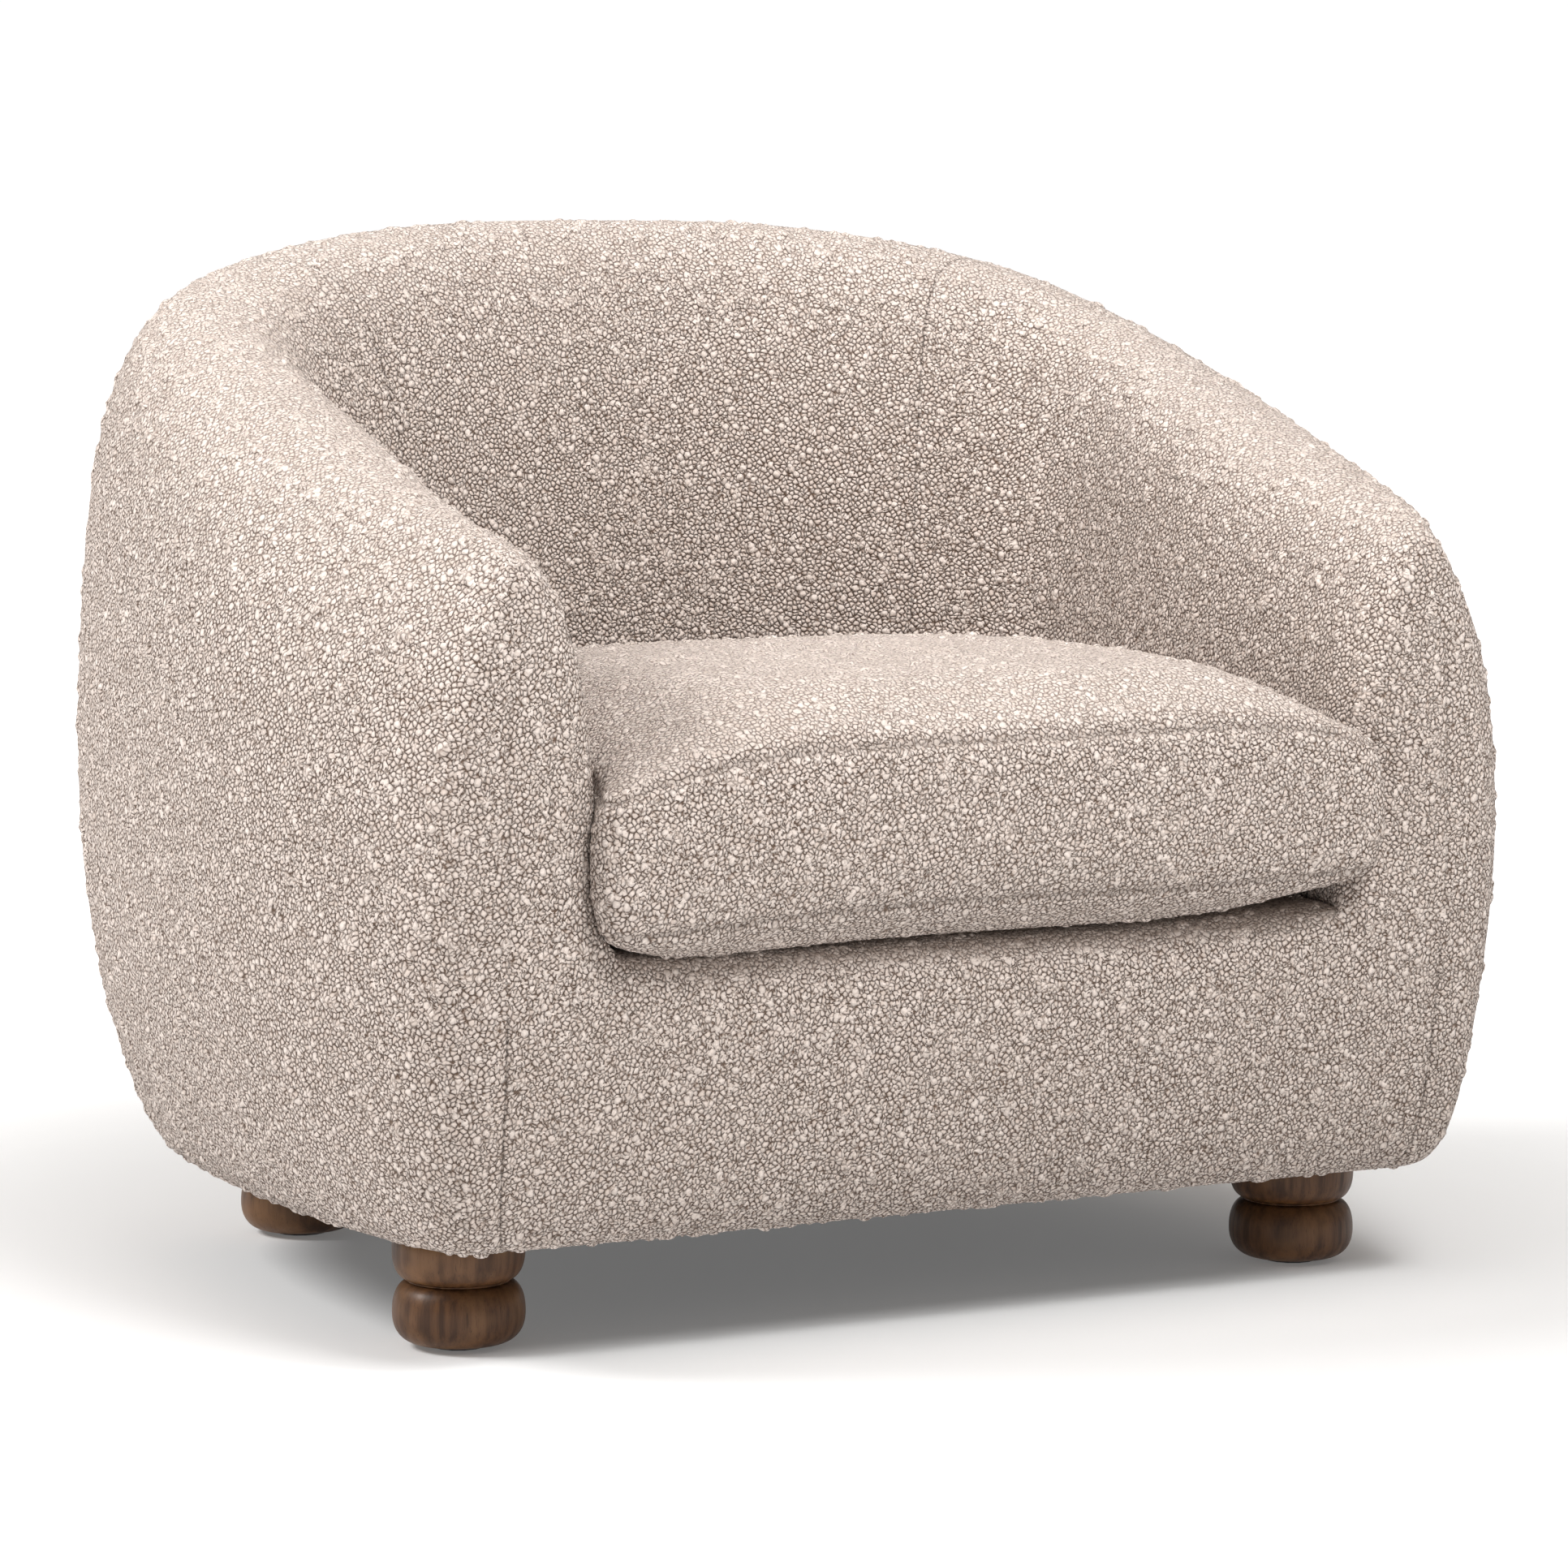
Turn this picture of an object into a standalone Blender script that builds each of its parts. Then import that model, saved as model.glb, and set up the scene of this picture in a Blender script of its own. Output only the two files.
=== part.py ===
"""Barrel armchair: a timber frame, sprung seat, foam, sewn cover panels, loose boxed cushion, bun feet.

Metres, +Z up. The chair faces -Y and is symmetric about X = 0; the floor is Z = 0.
"""
import math

import bmesh
import bpy
import numpy as np
from mathutils import Matrix, Vector

for old in list(bpy.data.objects):
    bpy.data.objects.remove(old, do_unlink=True)

# ---- driving dimensions ---------------------------------------------------------------------
GAP = 0.0004                 # clearance between neighbouring pieces
SKIN = 0.003                 # cover cloth with its backing
FOAM = 0.034                 # depth of the foam's inner face below the cover
COVER_LEVEL = 1              # subdivision of the covers and of the foam

FRONT_Y = -0.387             # plane of the base front and arm fronts
HEM_Z = 0.088                # lower edge of the upholstery
LOW_Z = 0.175                # level where the sides start to tuck in
SEAT_Z = 0.307               # top of the base front, foot of the inner walls
MID_Z = 0.396                # fullest level of the side at the arm front
TUCK = 0.066                 # how far the side tucks in at the hem
TURN_UNDER = 0.037           # cloth turned under the frame
FRONT_TUCK = 0.032
SHOULDER_DROP = 0.083        # shoulder rows below the crest
SHOULDER_IN = 0.015
CREST_OUT_IN = 0.071         # crest rows in from the outer and the inner face
CREST_INNER = 0.046
SEAM_X = 0.409               # vertical seam up each arm front
INNER_X = 0.3146             # half width between the arms

# stations along the wall, front of the arm to the middle of the back (right half):
# outer point, inner point, outward direction in plan, crest height, tuck share, lean of the inner face
STATIONS = (
    ((0.456, FRONT_Y), (INNER_X, FRONT_Y), 0.0, 0.593, 0.45, 0.0),
    ((0.496, -0.313), (INNER_X, -0.323), 0.0, 0.606, 0.75, 0.0),
    ((0.536, -0.166), (INNER_X, -0.203), 0.0, 0.638, 1.0, 0.0),
    ((0.536, 0.018), (INNER_X, -0.019), 0.0, 0.703, 1.0, 0.0),
    ((0.513, 0.202), (0.310, 0.110), 20.0, 0.754, 1.0, 0.025),
    ((0.451, 0.320), (0.207, 0.122), 45.0, 0.796, 1.0, 0.062),
    ((0.226, 0.402), (0.104, 0.149), 81.4, 0.826, 1.0, 0.062),
    ((0.0, 0.4155), (0.0, 0.154), 90.0, 0.826, 1.0, 0.062),
)
ROWS = ("under", "hem", "low", "seat", "mid", "shoulder", "crest_out", "ridge", "crest_in",
        "in_shoulder", "in_mid", "in_seat")
BACK_SEAM_STATION = 5        # the seams between the arms and the back

FOOT_R = 0.0497
FOOT_TOP = 0.0862
FRONT_FOOT = (0.368, -0.226)
REAR_FOOT = (0.293, 0.252)
GLIDE_R, GLIDE_H = 0.022, 0.003
BOLT_R, BOLT_BORE = 0.004, 0.0046
BOLT_LOW, BOLT_HIGH = 0.046, 0.128

RAIL_LOW, RAIL_HIGH = 0.0925, 0.190
FRONT_RAIL_TOP = 0.238
TIMBER = 0.024

SPRING_X = (-0.21, -0.07, 0.07, 0.21)
SPRING_Z = 0.245
SPRING_FRONT, SPRING_BACK = -0.304, 0.190
WIRE_R = 0.0017

CUSHION_X = 0.310           # half width
CUSHION_FRONT, CUSHION_BACK = -0.4108, 0.116
CUSHION_BOTTOM, CUSHION_TOP = 0.3045, 0.482
SEAM_LOW, SEAM_HIGH = 0.322, 0.436
ZIP_HALF = 0.2                # the zip band takes the straight run of the back within this half width


# ---- helpers --------------------------------------------------------------------------------
def material(name, colour, roughness, metallic=0.0):
    mat = bpy.data.materials.new(name)
    mat.use_nodes = True
    bsdf = mat.node_tree.nodes["Principled BSDF"]
    bsdf.inputs["Base Color"].default_value = (*colour, 1.0)
    bsdf.inputs["Roughness"].default_value = roughness
    bsdf.inputs["Metallic"].default_value = metallic
    return mat


LOOKS = {
    "cloth": ((0.57, 0.47, 0.41), 0.95, 0.0),
    "walnut": ((0.12, 0.055, 0.027), 0.38, 0.0),
    "timber": ((0.50, 0.36, 0.21), 0.75, 0.0),
    "foam": ((0.80, 0.76, 0.62), 0.95, 0.0),
    "lining": ((0.05, 0.05, 0.05), 0.95, 0.0),
    "steel": ((0.48, 0.48, 0.50), 0.35, 1.0),
    "plastic": ((0.03, 0.03, 0.03), 0.5, 0.0),
}


def add(name, verts, faces, look, parent=None, smooth=None):
    """One named object with its own material, its faces turned outward."""
    mesh = bpy.data.meshes.new(name)
    mesh.from_pydata([tuple(v) for v in verts], [], [tuple(f) for f in faces])
    bm = bmesh.new()
    bm.from_mesh(mesh)
    bmesh.ops.recalc_face_normals(bm, faces=bm.faces)
    bm.to_mesh(mesh)
    bm.free()
    if smooth:
        mesh.shade_smooth()
        mesh.set_sharp_from_angle(angle=math.radians(smooth))
    mesh.materials.append(material(name, *LOOKS[look]))
    ob = bpy.data.objects.new(name, mesh)
    bpy.context.collection.objects.link(ob)
    ob.parent = parent
    return ob


def box(name, low, high, look, parent=None):
    xs, ys, zs = zip(low, high)
    verts = [(x, y, z) for x in xs for y in ys for z in zs]
    faces = [(0, 1, 3, 2), (4, 6, 7, 5), (0, 4, 5, 1), (2, 3, 7, 6), (0, 2, 6, 4), (1, 5, 7, 3)]
    return add(name, verts, faces, look, parent)


def prism(name, outline, z0, z1, look, parent=None):
    """A flat outline in plan, extruded from z0 to z1."""
    n = len(outline)
    verts = [(x, y, z) for z in (z0, z1) for x, y in outline]
    faces = [tuple(range(n)), tuple(range(n, 2 * n))]
    faces += [(i, (i + 1) % n, n + (i + 1) % n, n + i) for i in range(n)]
    return add(name, verts, faces, look, parent)


def beam(name, start, end, width, height, look):
    """A straight timber between two points, kept level across its width."""
    a, b = Vector(start), Vector(end)
    along = (b - a).normalized()
    across = along.cross(Vector((0, 0, 1))).normalized() * width / 2
    up = across.cross(along).normalized() * height / 2
    verts = [p + sx * across + sz * up for p in (a, b) for sx, sz in ((-1, -1), (1, -1), (1, 1), (-1, 1))]
    faces = [(0, 1, 2, 3), (4, 5, 6, 7)] + [(i, (i + 1) % 4, 4 + (i + 1) % 4, 4 + i) for i in range(4)]
    return add(name, verts, faces, look)


def lathe(name, profile, segments, centre, look, smooth=40):
    """Turn a profile of (radius, z), from the axis round to the axis again, about +Z."""
    verts, rings = [], []
    for r, z in profile:
        if r == 0:
            rings.append([len(verts)] * segments)
            verts.append((centre[0], centre[1], z))
            continue
        rings.append(range(len(verts), len(verts) + segments))
        verts += [(centre[0] + r * math.cos(t), centre[1] + r * math.sin(t), z)
                  for t in (2 * math.pi * k / segments for k in range(segments))]
    faces = []
    for a, b in zip(rings, rings[1:]):
        for k in range(segments):
            quad = (a[k], a[(k + 1) % segments], b[(k + 1) % segments], b[k])
            faces.append(tuple(dict.fromkeys(quad)))
    return add(name, verts, faces, look, smooth=smooth)


def tube(name, path, radius, sides, look):
    """A round wire along a path, with flat ends."""
    pts = [Vector(p) for p in path]
    verts = []
    for i, p in enumerate(pts):
        along = (pts[min(i + 1, len(pts) - 1)] - pts[max(i - 1, 0)]).normalized()
        side = along.cross(Vector((0, 0, 1))).normalized()
        up = side.cross(along)
        for k in range(sides):
            t = 2 * math.pi * k / sides
            verts.append(p + radius * (math.cos(t) * side + math.sin(t) * up))
    faces = [tuple(range(sides)), tuple(range(len(verts) - sides, len(verts)))]
    for i in range(len(pts) - 1):
        for k in range(sides):
            a, b = i * sides + k, i * sides + (k + 1) % sides
            faces.append((a, b, b + sides, a + sides))
    return add(name, verts, faces, look, smooth=60)


def drill(ob, x, y, z0, z1, radius):
    """Cut an upright round hole through or into ob."""
    mesh = bpy.data.meshes.new(ob.name + "_bore")
    bm = bmesh.new()
    bmesh.ops.create_cone(bm, cap_ends=True, segments=12, radius1=radius, radius2=radius, depth=z1 - z0,
                          matrix=Matrix.Translation((x, y, (z0 + z1) / 2)))
    bm.to_mesh(mesh)
    bm.free()
    cutter = bpy.data.objects.new(ob.name + "_bore", mesh)
    cutter.hide_render = True
    cutter.display_type = "WIRE"
    bpy.context.collection.objects.link(cutter)
    cut = ob.modifiers.new("bore", "BOOLEAN")
    cut.operation = "DIFFERENCE"
    cut.object = cutter


# ---- the upholstered wall: one control cage, cut into panels --------------------------------
def rib(station):
    """Control points of the wall's section at one station, from under the hem over the crest."""
    (ox, oy), (ix, iy), angle, crest, share, lean = station
    nx, ny = math.cos(math.radians(angle)), math.sin(math.radians(angle))
    tuck = TUCK * share
    rise = 0.35 * (crest - STATIONS[0][3])

    def outer(off, z):
        return (ox + nx * off, oy + ny * off, z)

    def inner(off, z):
        return (ix + nx * off, iy + ny * off, z)

    return (outer(-tuck - TURN_UNDER, HEM_Z), outer(-tuck, HEM_Z), outer(-0.45 * tuck, LOW_Z),
            outer(-0.03 * tuck, SEAT_Z), outer(0.0, MID_Z + rise), outer(-SHOULDER_IN, crest - SHOULDER_DROP),
            outer(-CREST_OUT_IN, crest), ((ox + ix) / 2, (oy + iy) / 2, crest + 0.011),
            inner(CREST_INNER + lean, crest - 0.004), inner(0.011 + 0.8 * lean, crest - SHOULDER_DROP),
            inner(0.35 * lean, MID_Z + rise), inner(0.0, SEAT_Z))


def half_cage():
    """Right half of the cage: named control points, and faces as (names, panel)."""
    points, faces = {}, []
    for i, station in enumerate(STATIONS):
        for row, point in zip(ROWS, rib(station)):
            points[i, row] = point
    for i in range(len(STATIONS) - 1):
        panel = "arm" if i < BACK_SEAM_STATION else "back"
        for a, b in zip(ROWS, ROWS[1:]):
            faces.append((((i, a), (i, b), (i + 1, b), (i + 1, a)), panel))
    # the arm front closes on the vertical seam; the base front runs from seam to seam below the seat
    setback = {"under": FRONT_TUCK + TURN_UNDER, "hem": FRONT_TUCK, "low": 0.013, "seat": -0.004,
               "mid": -0.004, "shoulder": 0.0}
    for row, back in setback.items():
        z = points[0, row][2]
        points["seam", row] = (SEAM_X - (TURN_UNDER if row == "under" else 0.0), FRONT_Y + back, z)
        if row in ("under", "hem", "low"):
            points[0, row] = (points[0, row][0], FRONT_Y + back, z)
            for name, share in (("corner", 1.0), ("quarter", 0.5), ("centre", 0.0)):
                points[name, row] = (INNER_X * share, FRONT_Y + back, z)
    levels = tuple(setback)
    for a, b in zip(levels, levels[1:]):
        faces.append(((("seam", a), ("seam", b), (0, b), (0, a)), "arm"))
    faces.append(((("seam", "shoulder"), (0, "ridge"), (0, "crest_out"), (0, "shoulder")), "arm"))
    for names in ((("corner", "under"), ("corner", "hem"), ("seam", "hem"), ("seam", "under")),
                  (("corner", "hem"), ("corner", "low"), ("seam", "low"), ("seam", "hem")),
                  (("corner", "low"), (0, "in_seat"), ("seam", "seat"), ("seam", "low"))):
        faces.append((names, "front"))
    for names in (((0, "in_seat"), (0, "in_mid"), ("seam", "mid"), ("seam", "seat")),
                  ((0, "in_mid"), (0, "in_shoulder"), ("seam", "shoulder"), ("seam", "mid")),
                  ((0, "in_shoulder"), (0, "crest_in"), (0, "ridge"), ("seam", "shoulder"))):
        faces.append((names, "arm"))
    for name, share in (("quarter", 0.5), ("centre", 0.0)):
        points[name, "lip"] = (INNER_X * share, FRONT_Y, SEAT_Z - 0.004)
        points[name, "top"] = (INNER_X * share, STATIONS[1][1][1], SEAT_Z - 0.005)
        points[name, "deck"] = (INNER_X * share, STATIONS[2][1][1], SEAT_Z - 0.005)
    corner = {"under": ("corner", "under"), "hem": ("corner", "hem"), "low": ("corner", "low"),
              "lip": (0, "in_seat"), "top": (1, "in_seat"), "deck": (2, "in_seat")}
    names = tuple(corner)
    for left, right in (("corner", "quarter"), ("quarter", "centre")):
        for a, b in zip(names, names[1:]):
            quad = [corner[k] if column == "corner" else (column, k)
                    for column, k in ((right, a), (right, b), (left, b), (left, a))]
            faces.append((tuple(quad), "front"))
    creases = [((i, "in_seat"), (i + 1, "in_seat")) for i in range(2)]
    return points, faces, creases


PANELS = ("arm_left", "back", "arm_right", "front")


def full_cage():
    """Both halves as arrays: vertices, faces, panel index of each face, creased edges."""
    points, half, creases = half_cage()
    verts, index = [], {}
    for key, (x, y, z) in points.items():
        for side in (1, -1):
            if side == -1 and abs(x) < 1e-9:
                index[key, side] = index[key, 1]
            else:
                index[key, side] = len(verts)
                verts.append((side * x, y, z))
    faces, panel = [], []
    for names, kind in half:
        for side in (1, -1):
            loop = [index[key, side] for key in names]
            faces.append(loop if side == 1 else loop[::-1])
            panel.append(PANELS.index({"arm": "arm_right" if side == 1 else "arm_left"}.get(kind, kind)))
    sharp = [(index[a, side], index[b, side]) for a, b in creases for side in (1, -1)]
    return np.array(verts), faces, panel, sharp


CAGE_VERTS, CAGE_FACES, CAGE_PANEL, CAGE_SHARP = full_cage()


def offset_directions():
    """For each control point, the move that shifts every face around it inward by one unit.

    The faces are wound so that their normals point into the wall.
    """
    around = [[] for _ in CAGE_VERTS]
    for face in CAGE_FACES:
        a, b, c, d = (CAGE_VERTS[k] for k in face)
        normal = np.cross(c - a, d - b)
        normal /= np.linalg.norm(normal)
        for k in face:
            around[k].append(normal)
    moves = []
    for normals in around:
        rows = np.array(normals)
        moves.append(np.linalg.lstsq(rows, np.ones(len(rows)), rcond=0.2)[0])
    return np.array(moves)


OFFSETS = offset_directions()


def surface(depth):
    """The smooth surface at a depth below the cover: vertices, faces, panel of each face."""
    mesh = bpy.data.meshes.new("cage")
    mesh.from_pydata((CAGE_VERTS + OFFSETS * depth).tolist(), [], CAGE_FACES)
    mesh.polygons.foreach_set("material_index", CAGE_PANEL)
    crease = mesh.attributes.new("crease_edge", "FLOAT", "EDGE")
    sharp = {frozenset(edge) for edge in CAGE_SHARP}
    for edge in mesh.edges:
        crease.data[edge.index].value = 1.0 if frozenset(edge.vertices) in sharp else 0.0
    for _ in PANELS:
        mesh.materials.append(None)
    ob = bpy.data.objects.new("cage", mesh)
    bpy.context.collection.objects.link(ob)
    sub = ob.modifiers.new("smooth", "SUBSURF")
    sub.levels = sub.render_levels = COVER_LEVEL
    sub.boundary_smooth = "ALL"
    done = ob.evaluated_get(bpy.context.evaluated_depsgraph_get()).to_mesh()
    verts = np.array([v.co[:] for v in done.vertices])
    faces = [tuple(p.vertices) for p in done.polygons]
    panel = [p.material_index for p in done.polygons]
    bpy.data.objects.remove(ob, do_unlink=True)
    return verts, faces, panel


def layer(name, panel_index, upper, lower, look, trim):
    """A closed sheet between two surfaces, over one panel, trimmed back round its edge."""
    verts, faces, panel = upper
    chosen = [f for f, p in zip(faces, panel) if p == panel_index]
    count = {}
    for f in chosen:
        for a, b in zip(f, f[1:] + f[:1]):
            count[frozenset((a, b))] = count.get(frozenset((a, b)), 0) + 1
    rim = [(a, b) for f in chosen for a, b in zip(f, f[1:] + f[:1]) if count[frozenset((a, b))] == 1]
    edge_verts = {v for pair in rim for v in pair}
    used = sorted({v for f in chosen for v in f})
    place = {v: i for i, v in enumerate(used)}
    sheets = []
    for source in (verts, lower[0]):
        points = source[used].copy()
        for v in edge_verts:
            near = [source[list(f)].mean(axis=0) for f in chosen if v in f]
            inward = np.mean(near, axis=0) - source[v]
            points[place[v]] += inward / np.linalg.norm(inward) * trim
        sheets.append(points)
    # every sheet splits its faces along the same diagonals, so neighbours stay parallel
    n = len(used)
    out = []
    for f in chosen:
        a, b, c, d = (place[v] for v in f)
        out += [(a, b, c), (a, c, d), (n + c, n + b, n + a), (n + d, n + c, n + a)]
    for u, v in rim:
        a, b = place[u], place[v]
        out += [(b, a, n + a), (b, n + a, n + b)] if u > v else [(b, a, n + b), (a, n + a, n + b)]
    return add(name, np.vstack(sheets), out, look, smooth=50)


outside, inside = surface(0.0), surface(SKIN)
foam_out, foam_in = surface(SKIN + 3 * GAP), surface(FOAM)
for number, panel_name in enumerate(PANELS):
    layer("cover_" + panel_name, number, outside, inside, "cloth", 1.3 * GAP)
    layer("foam_" + panel_name, number, foam_out, foam_in, "foam", 7 * GAP)

# ---- feet, glides and hanger bolts ----------------------------------------------------------


def bun_profile(low, high, radius, neck_low, neck_high, steps=6):
    """Outline of one bun: rounded from neck to neck."""
    middle, half = (low + high) / 2, (high - low) / 2
    points = []
    for k in range(steps + 1):
        t = -1 + 2 * k / steps
        neck = neck_low if t < 0 else neck_high
        bulge = math.sqrt(max(0.0, 1 - abs(t) ** 2.3))
        points.append((neck + (radius - neck) * bulge, middle + half * t))
    return points


FOOT_LOW = GLIDE_H + GAP
LOWER_TOP, UPPER_LOW = 0.0492, 0.0510
for side, tag in ((-1, "left"), (1, "right")):
    for (x, y), where in ((FRONT_FOOT, "front"), (REAR_FOOT, "rear")):
        label, centre = where + "_" + tag, (side * x, y)
        lathe("foot_" + label,
              [(0, FOOT_LOW)] + bun_profile(FOOT_LOW, LOWER_TOP, FOOT_R, 0.031, 0.0378)
              + bun_profile(UPPER_LOW, 0.0955, FOOT_R, 0.0378, 0.030)[:-2]
              + [(0.038, FOOT_TOP), (BOLT_BORE, FOOT_TOP), (BOLT_BORE, BOLT_LOW - GAP), (0, BOLT_LOW - GAP)],
              20, centre, "walnut")
        lathe("glide_" + label, [(0, 0), (GLIDE_R - 0.001, 0), (GLIDE_R, 0.001), (GLIDE_R, GLIDE_H), (0, GLIDE_H)],
              14, centre, "plastic")
        lathe("bolt_" + label, [(0, BOLT_LOW), (BOLT_R, BOLT_LOW), (BOLT_R, BOLT_HIGH), (0, BOLT_HIGH)],
              8, centre, "steel")

# ---- timber frame ---------------------------------------------------------------------------
SIDE_IN, SIDE_OUT = 0.380, 0.404
FRONT_IN, FRONT_OUT = -0.293, -0.317
box("rail_front", (-0.360, FRONT_OUT, RAIL_LOW), (0.360, FRONT_IN, FRONT_RAIL_TOP), "timber")
box("rail_rear", (-0.232, 0.262, RAIL_LOW), (0.232, 0.262 + TIMBER, RAIL_HIGH), "timber")
box("seat_rail_rear", (-0.350, 0.178, 0.192), (0.350, 0.178 + TIMBER, FRONT_RAIL_TOP), "timber")
for side, tag in ((-1, "left"), (1, "right")):
    def span(x0, x1):
        return sorted((side * x0, side * x1))

    (a, b) = span(SIDE_IN, SIDE_OUT)
    box("rail_" + tag, (a, -0.2935, RAIL_LOW), (b, 0.150, RAIL_HIGH), "timber")
    outline = [(side * x, y) for x, y in ((0.312, FRONT_IN + GAP), (SIDE_IN - GAP, FRONT_IN + GAP),
                                          (SIDE_IN - GAP, -0.165), (0.345, -0.165), (0.312, -0.200))]
    block = prism("corner_block_front_" + tag, outline, RAIL_LOW, 0.150, "timber")
    drill(block, side * FRONT_FOOT[0], FRONT_FOOT[1], 0.05, BOLT_HIGH + 0.002, BOLT_BORE)
    brace = beam("corner_block_rear_" + tag, (side * 0.243, 0.254, 0.1215), (side * 0.374, 0.176, 0.1215),
                 0.056, 0.058, "timber")
    drill(brace, side * REAR_FOOT[0], REAR_FOOT[1], 0.05, BOLT_HIGH + 0.002, BOLT_BORE)
    (a, b) = span(0.364, 0.402)
    box("arm_post_" + tag, (a, -0.336, RAIL_HIGH + GAP), (b, -0.301, 0.478), "timber")
    beam("arm_rail_" + tag, (side * 0.383, -0.294, 0.452), (side * 0.374, 0.196, 0.606), 0.024, 0.038, "timber")
    (a, b) = span(0.316, 0.354)
    box("back_post_" + tag, (a, 0.203, 0.1515), (b, 0.241, 0.658), "timber")

CREST_Z, CREST_H = 0.680, 0.040
arc_verts, arc_faces, arc_steps = [], [], 12
for k in range(arc_steps + 1):
    t = -1 + 2 * k / arc_steps
    x, y = 0.338 * t, 0.300 - 0.078 * t * t
    for dy, dz in ((-1, -1), (1, -1), (1, 1), (-1, 1)):
        arc_verts.append((x, y + dy * TIMBER / 2, CREST_Z + dz * CREST_H / 2))
arc_faces += [(0, 1, 2, 3), tuple(range(4 * arc_steps, 4 * arc_steps + 4))]
for k in range(arc_steps):
    arc_faces += [(4 * k + i, 4 * k + (i + 1) % 4, 4 * k + 4 + (i + 1) % 4, 4 * k + 4 + i) for i in range(4)]
add("crest_rail", arc_verts, arc_faces, "timber")

# ---- seat suspension ------------------------------------------------------------------------
SWING, PERIODS, PER_PERIOD = 0.024, 8, 6


def spring_path(x):
    """Zig-zag wire from the front rail to the rear seat rail, arched a little in the middle."""
    path = [(x - SWING * 0.6, SPRING_FRONT, SPRING_Z)]
    first, last = SPRING_FRONT, SPRING_BACK
    total = PERIODS * PER_PERIOD
    for k in range(total + 1):
        t = k / total
        wave = math.sin(2 * math.pi * PERIODS * t)
        wave = math.copysign(abs(wave) ** 0.6, wave)
        grow = min(1.0, 8 * t, 8 * (1 - t))
        path.append((x + SWING * wave * grow, first + 0.012 + (last - first - 0.024) * t,
                     SPRING_Z + 0.006 * math.sin(math.pi * t)))
    path.append((x + SWING * 0.6, last, SPRING_Z))
    return path


CLIP_T, CLIP_W, CLIP_L = 0.0012, 0.026, 0.010
for number, x in enumerate(SPRING_X, 1):
    tube(f"spring_{number}", spring_path(x), WIRE_R, 5, "steel")
    for y, way, where in ((SPRING_FRONT, -1, "front"), (SPRING_BACK, 1, "rear")):
        low, high = FRONT_RAIL_TOP + GAP, SPRING_Z + WIRE_R + 0.0008
        profile = ((-CLIP_L, low), (CLIP_L, low), (CLIP_L, high + CLIP_T), (-CLIP_L * 0.4, high + CLIP_T),
                   (-CLIP_L * 0.4, high), (CLIP_L - CLIP_T, high), (CLIP_L - CLIP_T, low + CLIP_T),
                   (-CLIP_L, low + CLIP_T))
        verts = [(x + s * CLIP_W / 2, y + way * (py * 0.8), pz) for s in (-1, 1) for py, pz in profile]
        n = len(profile)
        faces = [tuple(range(n)), tuple(range(n, 2 * n))]
        faces += [(i, (i + 1) % n, n + (i + 1) % n, n + i) for i in range(n)]
        add(f"spring_clip_{where}_{number}", verts, faces, "steel")

# ---- deck, dust cover -----------------------------------------------------------------------
DECK = ((0.296, -0.196), (0.296, 0.060), (0.262, 0.112), (0.180, 0.128))
deck_outline = list(DECK) + [(-x, y) for x, y in reversed(DECK)]
prism("deck_foam", deck_outline, 0.2565, 0.2965, "foam")
prism("deck_cloth", deck_outline, 0.2970, 0.2984, "lining")

hem_half = []
for (ox, oy), _, angle, _, share, _ in STATIONS:
    move = TUCK * share + 0.020
    y = max(oy - move * math.sin(math.radians(angle)), FRONT_Y + FRONT_TUCK + 0.020)
    hem_half.append((ox - move * math.cos(math.radians(angle)), y))
dust_outline = hem_half[:-1] + [hem_half[-1]] + [(-x, y) for x, y in reversed(hem_half[:-1])]
dust = prism("dust_cover", dust_outline, FOOT_TOP + GAP, FOOT_TOP + GAP + 0.0008, "lining")
for side in (-1, 1):
    for x, y in (FRONT_FOOT, REAR_FOOT):
        drill(dust, side * x, y, 0.05, 0.12, BOLT_BORE + 0.001)

# ---- loose seat cushion ---------------------------------------------------------------------
cushion = bpy.data.objects.new("cushion_frame", None)
bpy.context.collection.objects.link(cushion)

AROUND = 44                  # points round the cushion


def cushion_outline():
    """Plan of the cushion, anticlockwise from the middle of the back: (x, y) with rounded corners."""
    front, back = CUSHION_FRONT + 0.012, CUSHION_BACK
    corners = ((-1, back, 0.120), (-1, front, 0.030), (1, front, 0.030), (1, back, 0.120))
    points = []
    for number, (sx, y, r) in enumerate(corners):
        sy = 1 if y > 0 else -1
        cx, cy = sx * (CUSHION_X - r), y - sy * r
        start = (90, 180, 270, 0)[number]
        for k in range(6):
            t = math.radians(start + 18 * k)
            points.append((cx + r * math.cos(t), cy + r * math.sin(t)))
    line = [Vector(p) for p in points]
    dense = []
    for a, b in zip(line, line[1:] + line[:1]):
        steps = max(1, round((b - a).length / 0.075))
        dense += [tuple(a.lerp(b, k / steps)) for k in range(steps)]
    return dense


OUTLINE = cushion_outline()


def swell(x, y):
    """How near a point of the outline is to the middle of its side: 0 at corners, 1 between them."""
    return max(0.0, 1 - (abs(x) / CUSHION_X) ** 4) if abs(x) < CUSHION_X * 0.97 else 0.35


def ring(inset, drop_share, level, belly=0.0):
    """One closed ring of points: the outline moved in, at a level, bulged out at the front."""
    points = []
    for x, y in OUTLINE:
        shrink = 1 - inset / CUSHION_X
        px = x * shrink
        py = (y - CUSHION_CENTRE_Y) * (1 - inset / CUSHION_HALF_Y) + CUSHION_CENTRE_Y
        push = belly * swell(x, y) if y < CUSHION_FRONT + 0.05 else 0.0
        points.append((px, py - push, level + drop_share * 0.016 * swell(x, y)))
    return points


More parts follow.
